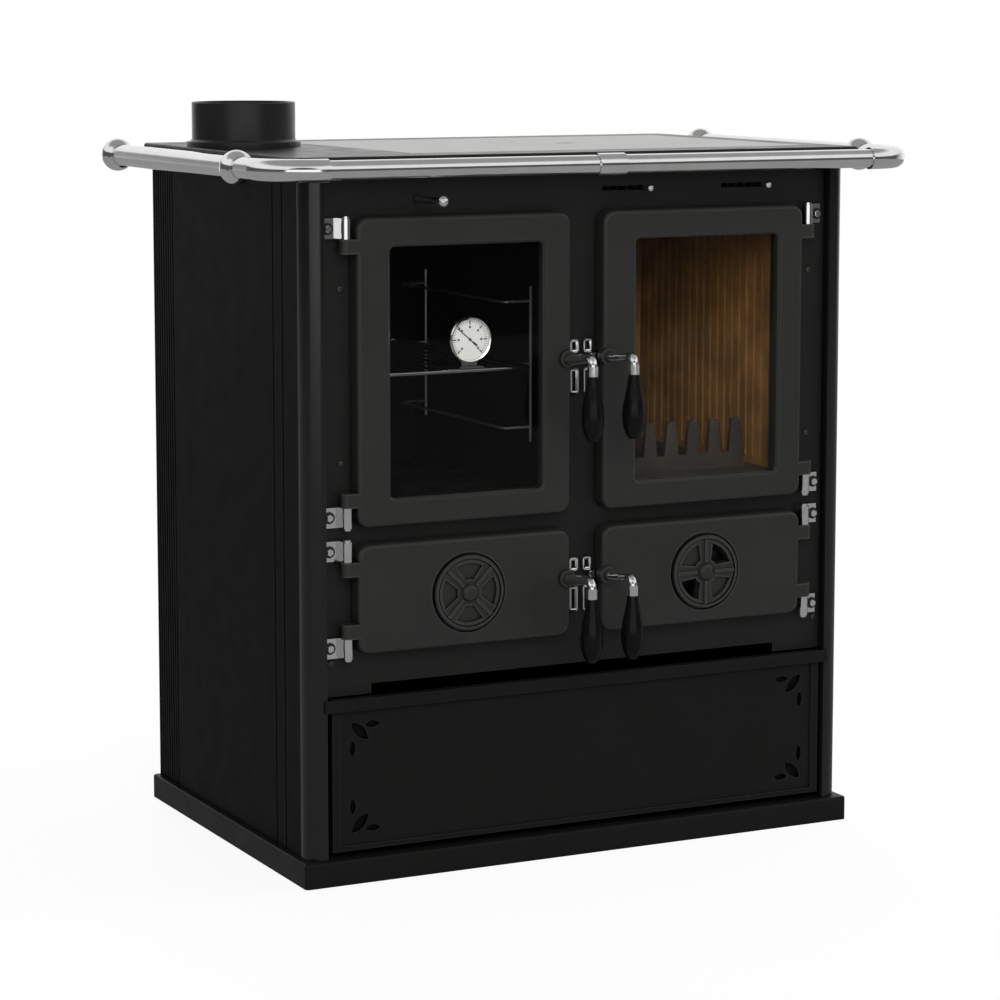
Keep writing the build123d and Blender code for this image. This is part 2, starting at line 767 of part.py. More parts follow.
oven_door = door_leaf(oven_place, oven_window_x0)
save(oven_door, "oven_door")
fire_door = door_leaf(fire_place, fire_window_x0)
save(fire_door, "fire_door")
soot_door = door_leaf(soot_place)
save(soot_door, "soot_door")

# The ash door has two air openings behind its register
with BuildPart() as ash_door:
    add(door_leaf(ash_place).part)
    with BuildSketch(facing(door_back)):
        with Locations((ash_place.rosette_x, rosette_z)):
            petals(2, petal_turn)
            Circle(axle_r + pin_gap)
    extrude(amount=door_t, mode=Mode.SUBTRACT)
save(ash_door, "ash_door")


# Glasses, on the step behind each window
def glass(window_x0):
    lap = glass_lap - seat_gap
    with BuildPart() as pane:
        with BuildSketch(facing(door_front + face_wall + glass_t)):
            span(window_x0 - lap, window_x0 + window_w + lap, window_z0 - lap, window_z0 + window_h + lap, 4)
        extrude(amount=glass_t)
    return pane


oven_glass = glass(oven_window_x0)
save(oven_glass, "oven_glass")
fire_glass = glass(fire_window_x0)
save(fire_glass, "fire_glass")


# Rope gaskets, in the grooves behind the leaves
def gasket(p):
    rope = seal_w / 2
    proud = plate_front - seat_gap
    with BuildPart() as seal:
        with BuildSketch(facing(proud)):
            span(p.x0 + seal_in - rope, p.x1 - seal_in + rope, p.z0 + p.seal_z - rope, p.z1 - p.seal_z + rope, 9)
            span(p.x0 + seal_in + rope, p.x1 - seal_in - rope, p.z0 + p.seal_z + rope, p.z1 - p.seal_z - rope, 3,
                 Mode.SUBTRACT)
        extrude(amount=proud - (door_back - seal_depth))
        chamfer(seal.faces().sort_by(Axis.Y)[-1].edges(), 1.2)
    return seal


oven_gasket = gasket(oven_place)
save(oven_gasket, "oven_gasket")
fire_gasket = gasket(fire_place)
save(fire_gasket, "fire_gasket")
soot_gasket = gasket(soot_place)
save(soot_gasket, "soot_gasket")
ash_gasket = gasket(ash_place)
save(ash_gasket, "ash_gasket")


# Rosettes: a turned disc with a domed boss, four ribs and four petals, blind or open
def rosette(p, turn, behind, open_petals):
    disc_front = door_front - rosette_proud
    disc_back = door_front + seat_depth - behind
    centre = (p.rosette_x, rosette_z)
    with BuildPart() as disc:
        with BuildSketch(facing(disc_back)):
            with Locations(centre):
                Circle(rosette_r)
        extrude(amount=disc_back - disc_front)
        fillet(disc.faces().sort_by(Axis.Y)[0].edges(), 2)
        with BuildSketch(facing(disc_front + 3)):
            with Locations(centre):
                Circle(rosette_r - 4)
        extrude(amount=3, mode=Mode.SUBTRACT)
        with BuildSketch(facing(disc_front + 3)):
            with Locations(centre):
                Circle(petal_r + 3.5)
                petals(4, turn)
        extrude(amount=1.5)
        with BuildSketch(facing(disc_front + 3)):
            with Locations(centre):
                with PolarLocations(petal_r / 2 + 8, 4, start_angle=turn + 45):
                    Rectangle(petal_r - 8, 4)
        extrude(amount=3)
        with BuildSketch(facing(disc_front + 3)):
            with Locations(centre):
                Circle(10)
        extrude(amount=5, taper=20)
        for start, depth in ((turn, door_t if open_petals else 5), (turn + 90, 5)):
            with BuildSketch(facing(disc_front + depth)):
                with Locations(centre):
                    petals(2, start)
            extrude(amount=depth, mode=Mode.SUBTRACT)
        if open_petals:
            with BuildSketch(facing(door_front + door_t - back_pocket + behind + 3)):
                with Locations(centre):
                    Circle(axle_r)
            extrude(amount=door_t - back_pocket - seat_depth + 2 * behind + 3)
            with BuildSketch(facing(door_front + door_t - back_pocket + behind + 3)):
                with Locations(centre):
                    Circle(2 * axle_r)
            extrude(amount=3)
    return disc


soot_rosette = rosette(soot_place, 0, 0, False)
save(soot_rosette, "soot_rosette")
air_register = rosette(ash_place, petal_turn, slide_gap, True)
save(air_register, "air_register")

# Hinge brackets: a leaf on the front plate with a knuckle over or under each ear
with BuildPart() as hinge_brackets:
    for p in places:
        for z in (p.z1 - p.ear_in + seat_gap, p.z0 + p.ear_in - seat_gap - knuckle_h):
            with BuildSketch(Plane.XY.offset(z)):
                flag = p.axis_x + p.side * (hinge_off + 13)
                neck = p.axis_x + p.side * knuckle_r
                span(min(flag, neck), max(flag, neck), plate_front - 4, plate_front)
                span(p.axis_x - knuckle_r, p.axis_x + knuckle_r, hinge_y, plate_front)
                with Locations((p.axis_x, hinge_y)):
                    Circle(knuckle_r)
                    Circle(pin_r + pin_gap, mode=Mode.SUBTRACT)
            extrude(amount=knuckle_h)
save(hinge_brackets, "hinge_brackets")

with BuildPart() as hinge_pins:
    for p in places:
        for end, z in ((1, p.z1 - p.ear_in - ear_h), (-1, p.z0 + p.ear_in + ear_h)):
            tip = z + end * (ear_h + seat_gap + knuckle_h)
            with BuildSketch(Plane((p.axis_x, hinge_y, z), z_dir=(0, 0, end))):
                Circle(pin_r)
            extrude(amount=abs(tip - z))
            with BuildSketch(Plane((p.axis_x, hinge_y, tip), z_dir=(0, 0, end))):
                Circle(pin_r + 1.5)
            extrude(amount=2.5)
save(hinge_pins, "hinge_pins")

# Keepers: for each latch a strip on the front plate, with a square staple over a tall one
keeper_x = 9.25
with BuildPart() as keepers:
    for p in places:
        middle = p.free_edge - p.side * 22.25
        x = middle + p.side * keeper_x
        with BuildSketch(facing(plate_front)):
            span(x - 6.5, x + 6.5, p.latch_z - 48, p.latch_z + 24)
        extrude(amount=3)
        with BuildSketch(facing(plate_front - 3)):
            span(x - 6.5, x + 6.5, p.latch_z + 3, p.latch_z + 23, 3)
            span(x - 2.5, x + 2.5, p.latch_z + 7, p.latch_z + 19, 1.5, Mode.SUBTRACT)
            span(x - 6.5, x + 6.5, p.latch_z - 46, p.latch_z - 13, 3)
            span(x - 2, x + 2, p.latch_z - 42, p.latch_z - 17, 1.5, Mode.SUBTRACT)
        extrude(amount=3)
save(keepers, "keepers")


# Latch handles: a shaft through the door, a tongue behind it, and a bright arm down to the grip
def handle(p):
    toward = -p.side
    pivot_y = door_front - boss_proud
    grip_y = door_front - arm_reach
    elbow_z = p.latch_z + arm_rise
    tongue_y = door_front + pocket_y + 0.5
    with BuildPart() as lever:
        with BuildSketch(facing(tongue_y + tongue_t)):
            with Locations((p.latch_x, p.latch_z)):
                Circle(hub_lever_r)
            with Locations((p.latch_x + toward * (tongue_len - 4), p.latch_z)):
                Circle(4)
            make_hull()
        extrude(amount=tongue_t)
        with BuildSketch(facing(tongue_y)):
            with Locations((p.latch_x, p.latch_z)):
                Circle(shaft_r)
        extrude(amount=tongue_y - pivot_y + seat_gap)
        with BuildLine() as route:
            FilletPolyline(
                (p.latch_x, pivot_y - seat_gap, p.latch_z),
                (p.latch_x, pivot_y - 12, p.latch_z),
                (p.latch_x, grip_y, elbow_z),
                (p.latch_x, grip_y, elbow_z - 14),
                radius=9,
            )
        with BuildSketch(Plane(route.line @ 0, z_dir=route.line % 0)):
            Circle(arm_r)
        sweep()
        with BuildSketch(Plane.XY.offset(elbow_z - 10)):
            with Locations((p.latch_x, grip_y)):
                Circle(ferrule_r)
        extrude(amount=-ferrule_h + 8)
    return lever


def grip(p):
    top = p.latch_z + arm_rise - ferrule_h - 2
    with BuildPart() as knob:
        with BuildSketch(Plane((p.latch_x, door_front - arm_reach, top), x_dir=(1, 0, 0), z_dir=(0, -1, 0))):
            with BuildLine():
                Line((0, 0), (ferrule_r, 0))
                Spline((ferrule_r, 0), (0.72 * grip_r, -0.25 * grip_h), (grip_r, -0.58 * grip_h),
                       (0.8 * grip_r, -0.88 * grip_h), (0.42 * grip_r, -grip_h))
                Line((0.42 * grip_r, -grip_h), (0, -grip_h))
                Line((0, -grip_h), (0, 0))
            make_face()
        revolve(axis=Axis((p.latch_x, door_front - arm_reach, 0), (0, 0, 1)))
    return knob


handle_oven = handle(oven_place)
save(handle_oven, "handle_oven")
handle_fire = handle(fire_place)
save(handle_fire, "handle_fire")
handle_soot = handle(soot_place)
save(handle_soot, "handle_soot")
handle_ash = handle(ash_place)
save(handle_ash, "handle_ash")
grip_oven = grip(oven_place)
save(grip_oven, "grip_oven")
grip_fire = grip(fire_place)
save(grip_fire, "grip_fire")
grip_soot = grip(soot_place)
save(grip_soot, "grip_soot")
grip_ash = grip(ash_place)
save(grip_ash, "grip_ash")

# Drawer front: a sheet panel in a raised strip, leaf cut-outs in the corners, and a lip to pull it by
drawer_x = body_w / 2 - post_w - drawer_gap
panel_x = drawer_x - strip_w
panel_z0 = drawer_z0 + 6
panel_z1 = drawer_top - lip_h
panel_z = (panel_z0 + panel_z1) / 2
strip_front = front + 2
with BuildSketch() as leaf_outline:
    with BuildLine():
        ThreePointArc((-1, 0), (0, 0.42), (1, 0))
        ThreePointArc((1, 0), (0, -0.42), (-1, 0))
    make_face()

with BuildPart() as drawer_front:
    with BuildSketch(facing(strip_front + drawer_front_t)):
        span(-drawer_x, drawer_x, drawer_z0, drawer_top)
    extrude(amount=drawer_front_t)
    with BuildSketch(facing(strip_front + 2)):
        span(-panel_x, panel_x, panel_z0, panel_z1)
    extrude(amount=2, mode=Mode.SUBTRACT)
    block(-drawer_x, drawer_x, front - 1, strip_front, panel_z1, drawer_top)
    block(-drawer_x - lip_over - drawer_gap, drawer_x + lip_over + drawer_gap, front - 4, front - 0.5, panel_z1,
          drawer_top)
    with BuildSketch(facing(strip_front + drawer_front_t)):
        for side in (-1, 1):
            for end in (-1, 1):
                for dx, dz, size, tilt in ((26, 56, 15.5, 45), (16.6, 35, 10, 90), (43, 63, 10, 0)):
                    place = Location((side * (panel_x - dx), panel_z + end * dz, 0), (0, 0, side * end * tilt))
                    with Locations(place):
                        add(scale(leaf_outline.sketch, size, mode=Mode.PRIVATE))
    extrude(amount=drawer_front_t, mode=Mode.SUBTRACT)
    fillet(drawer_front.faces().sort_by(Axis.Y)[0].edges(), 1)
save(drawer_front, "drawer_front")

# Drawer box on its two runners
box_x = drawer_x - 11
box_y0 = strip_front + drawer_front_t
box_z0 = runner_z + 3 + slide_gap
with BuildPart() as drawer_box:
    block(-box_x, box_x, box_y0, box_y0 + box_d, box_z0, box_z0 + box_h)
    offset(amount=-thin_sheet, openings=drawer_box.faces().sort_by(Axis.Z)[-1])
save(drawer_box, "drawer_box")

with BuildPart() as drawer_runners:
    for side in (-1, 1):
        wall = side * (body_w / 2 - sheet)
        with BuildSketch(facing(inner_back)):
            toe = side * (box_x - 20)
            span(min(wall, toe), max(wall, toe), runner_z, runner_z + 3)
            rise = wall - side * 3
            span(min(wall, rise), max(wall, rise), runner_z, runner_z + 30)
        extrude(amount=inner_back - plate_back)
save(drawer_runners, "drawer_runners")
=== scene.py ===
import math

import bmesh
import bpy
import numpy as np
from bpy.props import FloatProperty, FloatVectorProperty, IntProperty, PointerProperty
from bpy.types import Operator, Panel, PropertyGroup
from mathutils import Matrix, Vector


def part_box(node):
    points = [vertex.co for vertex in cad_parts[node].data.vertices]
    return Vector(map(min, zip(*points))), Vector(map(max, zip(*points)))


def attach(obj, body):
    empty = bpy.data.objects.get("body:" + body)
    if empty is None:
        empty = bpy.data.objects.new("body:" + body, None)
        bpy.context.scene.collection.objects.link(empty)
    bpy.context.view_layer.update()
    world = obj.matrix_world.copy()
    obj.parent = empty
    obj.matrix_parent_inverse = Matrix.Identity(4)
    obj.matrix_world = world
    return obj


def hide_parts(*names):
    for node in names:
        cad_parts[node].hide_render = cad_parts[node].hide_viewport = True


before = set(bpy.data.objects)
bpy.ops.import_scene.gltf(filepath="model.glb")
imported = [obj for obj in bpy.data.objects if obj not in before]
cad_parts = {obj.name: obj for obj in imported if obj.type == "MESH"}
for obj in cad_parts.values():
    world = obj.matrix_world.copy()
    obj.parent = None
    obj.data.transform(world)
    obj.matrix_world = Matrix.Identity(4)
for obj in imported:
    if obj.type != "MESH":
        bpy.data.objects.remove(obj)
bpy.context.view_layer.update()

bl_info = {
    "name": "Wood cookstove",
    "version": (1, 0, 0),
    "blender": (4, 5, 0),
    "location": "View3D > Sidebar > Cookstove",
    "description": "Finishes, small fittings and a studio for a packed wood cookstove",
    "category": "Object",
}

MM = 0.001
TURN = 2 * math.pi

# Depths that the pieces are set by: the front plate's face, and the hinge brackets' face in front of it
BRACKET_T = 4 * MM
PLATE_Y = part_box("front_plate")[0].y
BRACKET_Y = PLATE_Y - BRACKET_T
DOORS = ("oven_door", "fire_door", "soot_door", "ash_door")


def door_side(door):
    """-1 for a door that is hinged on the left, 1 for one hinged on the right."""
    lo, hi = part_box(door)
    return 1 if lo.x + hi.x > 0 else -1


# Sizes and colours that a user would change
def colour_prop(name, description, default):
    return FloatVectorProperty(name=name, description=description, default=default, size=3,
                               subtype="COLOR", min=0, max=1)


def length_prop(name, description, default):
    return FloatProperty(name=name, description=description, default=default, unit="LENGTH", min=0)


def factor_prop(name, description, default):
    return FloatProperty(name=name, description=description, default=default, subtype="FACTOR", min=0, max=1)


class StoveFinishes(PropertyGroup):
    enamel: colour_prop("Enamel", "Anthracite enamel of the sheets and the castings", (0.0070, 0.0074, 0.0066))
    hob: colour_prop("Hob enamel", "Darker enamel of the hob frame and the flue collar",
                     (0.0070, 0.0075, 0.0070))
    iron: colour_prop("Machined iron", "Bare iron of the cooking plate and its rings", (0.52, 0.52, 0.505))
    chrome: colour_prop("Bright metal", "Polished rail, handles, hinges and keepers", (0.74, 0.745, 0.735))
    steel: colour_prop("Plain steel", "Sheet steel of the drawer box, chambers and pan", (0.25, 0.25, 0.25))
    # The lining's warm orange is partly its own brown and partly painted firelight
    lining: colour_prop("Lining", "Fluted lining with painted firelight of the firebox", (0.165, 0.078, 0.021))
    raw_iron: colour_prop("Raw iron", "Grate, hearth and log retainer", (0.035, 0.032, 0.030))
    rope: colour_prop("Rope", "Glass-fibre rope seals", (0.045, 0.045, 0.043))
    grip: colour_prop("Grip", "Gloss black drop grips", (0.0025, 0.0025, 0.0025))
    dial: colour_prop("Dial", "Face of the oven thermometer", (0.50, 0.50, 0.49))
    glass: colour_prop("Glass", "Heat-proof door glass", (0.96, 0.97, 0.95))
    enamel_rough: factor_prop("Enamel roughness", "0 is a mirror, 1 is dull", 0.40)


class StoveSizes(PropertyGroup):
    screw_head: length_prop("Screw head", "Width of the round heads on the front plate", 8 * MM)
    bolt_head: length_prop("Bolt head", "Width across the flats of the hinge bolts", 8 * MM)
    wire: length_prop("Oven wire", "Thickness of the wires of the shelf and its guides", 3.2 * MM)
    tick_count: IntProperty(name="Dial ticks", description="Marks round the thermometer", default=36, min=12)


class StoveStudio(PropertyGroup):
    camera: FloatVectorProperty(name="Camera", description="Place of the camera", size=3, subtype="TRANSLATION",
                                unit="LENGTH", default=(-1.7962, -3.5681, 1.0143))
    yaw: FloatProperty(name="Yaw", description="Turn of the camera from +Y towards +X", subtype="ANGLE",
                       default=0.4635)
    pitch: FloatProperty(name="Pitch", description="Tilt of the camera, down is negative", subtype="ANGLE",
                         default=-0.1261)
    lens: FloatProperty(name="Lens", description="Focal length on a 36 mm frame", default=113.16, min=10)
    shift_x: FloatProperty(name="Shift X", description="Sideways shift of the picture", default=0.0145)
    shift_y: FloatProperty(name="Shift Y", description="Upward shift of the picture", default=-0.08)
    sky: factor_prop("Sky", "Level of the soft light from all round", 0.42)
    room: factor_prop("Room", "Level that bright metal reflects away from the backdrop", 0.10)
    ceiling: factor_prop("Ceiling", "Level that bright metal reflects from above", 1.0)
    ground: factor_prop("Ground", "Level that bright metal reflects from the floor", 0.33)
    window: FloatProperty(name="Window", description="Level that bright metal reflects from behind the camera",
                          default=1.3, min=0)
    key: FloatProperty(name="Key light", description="Power of the large front light", unit="POWER", default=95)
    fill: FloatProperty(name="Fill light", description="Power of the side lights", unit="POWER", default=28)


# Surfaces: each shape is three arrays, its points, its faces and its UV map
def grid_faces(rows, columns, wrap_rows, wrap_columns):
    """Quads between neighbouring points of a rows x columns grid, closed on itself where a wrap is set."""
    index = np.arange(rows * columns).reshape(rows, columns)
    if wrap_rows:
        index = np.vstack([index, index[:1]])
    if wrap_columns:
        index = np.hstack([index, index[:, :1]])
    quads = np.stack([index[:-1, :-1], index[:-1, 1:], index[1:, 1:], index[1:, :-1]], axis=-1)
    return quads.reshape(-1, 4)


def grid_shape(points, wrap_rows=False, wrap_columns=False):
    """A surface over a grid of points, with the two grid parameters as its UV map."""
    rows, columns = points.shape[:2]
    u, v = np.meshgrid(np.linspace(0, 1, rows), np.linspace(0, 1, columns), indexing="ij")
    uv = np.stack([u, v], axis=-1).reshape(-1, 2)
    return points.reshape(-1, 3), grid_faces(rows, columns, wrap_rows, wrap_columns), uv


def spun(profile, centre, axis, across, sides=32, flats=0):
    """A profile of (radius, height) spun round an axis: point = centre + radius x (cos, sin) + height x axis.
    With flats, each radius is divided by the cosine of the angle from the nearest flat's middle."""
    profile = np.array(profile, float)
    axis = np.array(axis, float)
    across = np.array(across, float)
    other = np.cross(axis, across)
    angle = np.linspace(0, TURN, sides, endpoint=False)
    spread = np.ones(sides)
    if flats:
        step = TURN / flats
        spread = 1 / np.cos((angle + step / 2) % step - step / 2)
    ring = spread[:, None] * (np.cos(angle)[:, None] * across + np.sin(angle)[:, None] * other)
    points = np.array(centre) + profile[:, None, :1] * ring + profile[:, None, 1:] * axis
    return grid_shape(points, wrap_columns=True)


def rounded_path(corners, radius, closed=False, steps=6):
    """A polyline whose corners are arcs: at each corner the arc starts and ends one tangent length away."""
    corners = [np.array(c, float) for c in corners]
    path = [] if closed else [corners[0][None]]
    count = len(corners)
    for n in range(count if closed else count - 2):
        before, here, after = (corners[(n + k - (1 if closed else 0)) % count] for k in range(3))
        back = (before - here) / np.linalg.norm(before - here)
        on = (after - here) / np.linalg.norm(after - here)
        half = math.acos(np.clip(back @ on, -1, 1)) / 2
        reach = radius / math.tan(half)
        middle = (back + on) / np.linalg.norm(back + on)
        centre = here + middle * radius / math.sin(half)
        t = np.linspace(0, 1, steps)[:, None]
        blend = (1 - t) * (here + back * reach) + t * (here + on * reach) - centre
        path.append(centre + radius * blend / np.linalg.norm(blend, axis=1, keepdims=True))
    if not closed:
        path.append(corners[-1][None])
    return np.vstack(path)


def tube(path, normal, radius, sides=10, closed=False):
    """A round tube on a flat path: point = path + radius x (cos x normal + sin x side), where side is the
    cross product of tangent and normal. radius is a number, or an array over path points and sides."""
    path = np.asarray(path, float)
    ahead = np.roll(path, -1, axis=0) - np.roll(path, 1, axis=0)
    if not closed:
        ahead[0] = path[1] - path[0]
        ahead[-1] = path[-1] - path[-2]
    ahead /= np.linalg.norm(ahead, axis=1, keepdims=True)
    normal = np.array(normal, float)
    side = np.cross(ahead, normal)
    angle = np.linspace(0, TURN, sides, endpoint=False)
    radius = np.broadcast_to(radius, (len(path), sides))[..., None]
    ring = np.cos(angle)[None, :, None] * normal + np.sin(angle)[None, :, None] * side[:, None, :]
    points = path[:, None, :] + radius * ring
    if not closed:
        start, end = (np.repeat(path[[n], None], sides, axis=1) for n in (0, -1))
        points = np.concatenate([start, points, end])
    return grid_shape(points, wrap_rows=closed, wrap_columns=True)


def piece(name, shapes, material, body, sharp=35):
    """One object from a list of shapes, merged at seams and poles, riding on a body."""
    starts = np.cumsum([0] + [len(s[0]) for s in shapes[:-1]])
    verts = np.vstack([s[0] for s in shapes])
    faces = np.vstack([s[1] + start for s, start in zip(shapes, starts)])
    uv = np.vstack([s[2] for s in shapes])
    mesh = bpy.data.meshes.new(name)
    mesh.vertices.add(len(verts))
    mesh.vertices.foreach_set("co", verts.ravel())
    mesh.loops.add(faces.size)
    mesh.loops.foreach_set("vertex_index", faces.ravel().astype(np.int32))
    mesh.polygons.add(len(faces))
    mesh.polygons.foreach_set("loop_start", np.arange(0, faces.size, 4, dtype=np.int32))
    mesh.update(calc_edges=True)
    layer = mesh.uv_layers.new(name="UVMap")
    layer.data.foreach_set("uv", uv[faces.ravel()].ravel())
    weld(mesh)
    mesh.shade_smooth()
    mesh.set_sharp_from_angle(angle=math.radians(sharp))
    mesh.materials.append(material)
    made = bpy.data.objects.new(name, mesh)
    bpy.context.scene.collection.objects.link(made)
    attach(made, body)
    return made


def weld(mesh):
    """Joins points that lie together and turns every face outwards."""
    work = bmesh.new()
    work.from_mesh(mesh)
    bmesh.ops.remove_doubles(work, verts=work.verts, dist=1e-7)
    bmesh.ops.recalc_face_normals(work, faces=work.faces)
    work.to_mesh(mesh)
    work.free()


# Materials: a net adds nodes to a tree, and a recipe is the net of one material
class Net:
    """Adds nodes whose inputs are given as sockets, numbers, vectors or colours."""

    def __init__(self, tree):
        self.nodes = tree.nodes
        self.links = tree.links

    def fill(self, socket, value):
        """Links an input to another node's output, or sets it to a value of its own."""
        if isinstance(value, bpy.types.NodeSocket):
            self.links.new(value, socket)
        elif socket.type == "RGBA":
            socket.default_value = (*value, 1)
        else:
            socket.default_value = value

    def node(self, kind, inputs=(), **settings):
        """One node, with its settings as keywords and its inputs by name or number."""
        made = self.nodes.new(kind)
        for key, value in settings.items():
            setattr(made, key, value)
        for key, value in dict(inputs).items():
            self.fill(made.inputs[key], value)
        return made

    def math(self, operation, *values):
        """One operation on numbers and sockets."""
        return self.node("ShaderNodeMath", enumerate(values), operation=operation).outputs[0]

    def between(self, factor, low, high, start=0.0, end=1.0):
        """A value that goes from low to high as the factor goes from start to end."""
        inputs = {"Value": factor, "From Min": start, "From Max": end, "To Min": low, "To Max": high}
        return self.node("ShaderNodeMapRange", inputs).outputs[0]

    def ramp(self, factor, start, end, low=0.0, high=1.0):
        """The same, as a smooth step."""
        inputs = {"Value": factor, "From Min": start, "From Max": end, "To Min": low, "To Max": high}
        return self.node("ShaderNodeMapRange", inputs, interpolation_type="SMOOTHSTEP").outputs[0]

    def dot(self, first, second):
        """The dot product of two vectors: how far one leans along the other, from -1 to 1."""
        product = self.node("ShaderNodeVectorMath", {0: first, 1: second}, operation="DOT_PRODUCT")
        return product.outputs["Value"]


class Recipe(Net):
    """A Principled material whose patterns are read from the object's own coordinates."""

    def __init__(self, name, **settings):
        self.material = bpy.data.materials.new(name)
        self.material.use_nodes = True
        super().__init__(self.material.node_tree)
        self.shader = self.nodes["Principled BSDF"]
        self.set(**settings)
        self.place = self.node("ShaderNodeTexCoord").outputs["Object"]

    def set(self, **settings):
        """Sets or links the shader's sockets, as in base_color=..., roughness=..."""
        for key, value in settings.items():
            title = " ".join(word.upper() if word == "ior" else word.capitalize() for word in key.split("_"))
            self.fill(self.shader.inputs[title], value)

    def stretched(self, x, y, z):
        """The object's coordinates, scaled along each axis."""
        return self.node("ShaderNodeMapping", {"Vector": self.place, "Scale": (x, y, z)}).outputs[0]

    def noise(self, scale, detail=2.0, rough=0.5, vector=None):
        """Cloudy values round 0.5, with a scale in cells to the metre."""
        inputs = {"Vector": vector or self.place, "Scale": scale, "Detail": detail, "Roughness": rough}
        return self.node("ShaderNodeTexNoise", inputs).outputs["Fac"]

    def tint(self, factor, first, second):
        """A colour that goes from the first to the second, where each is a colour or a socket."""
        return self.node("ShaderNodeMix", {0: factor, 6: first, 7: second}, data_type="RGBA").outputs[2]

    def edges(self, width):
        """1 near an outer or inner edge and 0 on open faces, from how far a rounded normal leans."""
        rounded = self.node("ShaderNodeBevel", {"Radius": width}, samples=4).outputs[0]
        true = self.node("ShaderNodeNewGeometry").outputs["Normal"]
        return self.between(self.dot(rounded, true), 1.0, 0.0, 0.75, 0.99)

    def nearness(self, reach, start, end, **settings):
        """1 where faces crowd in within reach and 0 where nothing does, from the open share of the view."""
        open_share = self.node("ShaderNodeAmbientOcclusion", {"Distance": reach}, samples=4, **settings)
        return self.between(open_share.outputs["AO"], 1.0, 0.0, start, end)

    def rim(self, reach):
        """1 on the outer edges of a thick casting and 0 on open faces, looking into the casting itself."""
        return self.nearness(reach, 0.6, 0.95, inside=True, only_local=True)

    def cavity(self, reach):
        """1 deep in a groove or a corner and 0 on open faces."""
        return self.nearness(reach, 0.35, 0.9)

    def relief(self, *layers):
        """Bumps one over another, each given as height socket and depth in metres."""
        normal = None
        for height, depth in layers:
            bump = self.node("ShaderNodeBump", {"Height": height, "Distance": depth, "Strength": 1.0})
            if normal:
                self.links.new(normal, bump.inputs["Normal"])
            normal = bump.outputs[0]
        self.set(normal=normal)


def scaled(colour, factor):
    """A colour made darker or lighter, up to full white."""
    return tuple(min(1.0, c * factor) for c in colour)


def enamel(name, colour, rough, peel, grain, gloss=0.2, edge_highlight=4.0, casting=False):
    """Fired enamel: a faint cloudiness, an orange-peel skin, specks, paler edges that are a painted highlight,
    and painted shade in grooves.
    """
    r = Recipe(name, specular_ior_level=gloss)
    cloud = r.noise(9, 4)
    body = r.tint(r.between(cloud, 0, 1, 0.3, 0.7), scaled(colour, 0.94), scaled(colour, 1.06))
    speck = r.between(r.noise(1500, 1), 0, 0.5, 0.62, 0.75)
    flecked = r.tint(speck, body, scaled(colour, 2.0))
    # Paler edges, on the castings' rims or along a rounded bevel: a painted highlight
    edge_highlight_share = r.rim(2.2 * MM) if casting else r.edges(1.2 * MM)
    pale_edged = r.tint(r.between(edge_highlight_share, 0, 0.55), flecked, scaled(colour, edge_highlight))
    # Darker deep in grooves and corners: painted shade
    groove_shade = r.tint(r.cavity(5 * MM), pale_edged, scaled(colour, 0.15))
    r.set(base_color=groove_shade, roughness=r.between(r.noise(30, 3), rough - 0.05, rough + 0.05, 0.3, 0.7))
    r.relief((r.noise(peel, 1), 0.05 * MM), (r.noise(grain, 2), 0.04 * MM))
    return r.material


def machined_iron(name, colour):
    """Ground cast iron: long fine scratches, oil-dark clouds and paler worn edges."""
    r = Recipe(name, metallic=1.0)
    scratch = r.noise(1, 3, 0.6, r.stretched(60, 2400, 60))
    cloud = r.noise(14, 4)
    base = r.tint(r.between(cloud, 0, 1, 0.3, 0.72), scaled(colour, 0.86), scaled(colour, 1.04))
    lined = r.tint(r.between(scratch, 0, 0.35, 0.35, 0.7), base, scaled(colour, 0.5))
    pale_edged = r.tint(r.between(r.edges(1.0 * MM), 0, 0.6), lined, scaled(colour, 1.5))
    r.set(base_color=pale_edged, roughness=r.between(cloud, 0.34, 0.42, 0.3, 0.7))
    r.relief((scratch, 0.02 * MM), (r.noise(900, 2), 0.03 * MM))
    return r.material


def chrome(name, colour):
    """Polished plate: faint hand marks in the gloss and hair scratches."""
    r = Recipe(name, metallic=1.0)
    smear = r.noise(35, 4, 0.6)
    r.set(base_color=r.tint(r.between(smear, 0, 1, 0.3, 0.7), scaled(colour, 0.93), scaled(colour, 1.04)),
          roughness=r.between(smear, 0.05, 0.13, 0.3, 0.75))
    r.relief((r.noise(1, 2, 0.5, r.stretched(300, 300, 4000)), 0.004 * MM))
    return r.material


def sheet_steel(name, colour, rough):
    """Rolled sheet: directional grain, dull patches and rubbed edges."""
    r = Recipe(name, metallic=1.0)
    grain = r.noise(1, 2, 0.5, r.stretched(40, 900, 900))
    patch = r.noise(12, 5, 0.65)
    base = r.tint(r.between(patch, 0, 1, 0.35, 0.7), scaled(colour, 0.7), colour)
    lined = r.tint(r.between(grain, 0, 0.3, 0.4, 0.7), base, scaled(colour, 0.5))
    r.set(base_color=r.tint(r.between(r.edges(0.8 * MM), 0, 0.5), lined, scaled(colour, 1.8)),
          roughness=r.between(patch, rough, rough + 0.14, 0.3, 0.7))
    r.relief((grain, 0.01 * MM))
    return r.material


def cast_iron(name, colour, warm):
    """Bare sand-cast iron: a coarse skin, with rust and ash tones in patches."""
    r = Recipe(name, specular_ior_level=0.35)
    patch = r.noise(18, 6, 0.65)
    base = r.tint(r.between(patch, 0, 1, 0.38, 0.66), scaled(colour, 0.65), warm)
    pits = r.noise(700, 3, 0.6)
    r.set(base_color=r.tint(r.between(r.edges(1.2 * MM), 0, 0.35), base, scaled(colour, 2.6)),
          roughness=r.between(pits, 0.62, 0.82, 0.3, 0.7))
    r.relief((pits, 0.25 * MM), (r.noise(180, 2), 0.25 * MM))
    return r.material


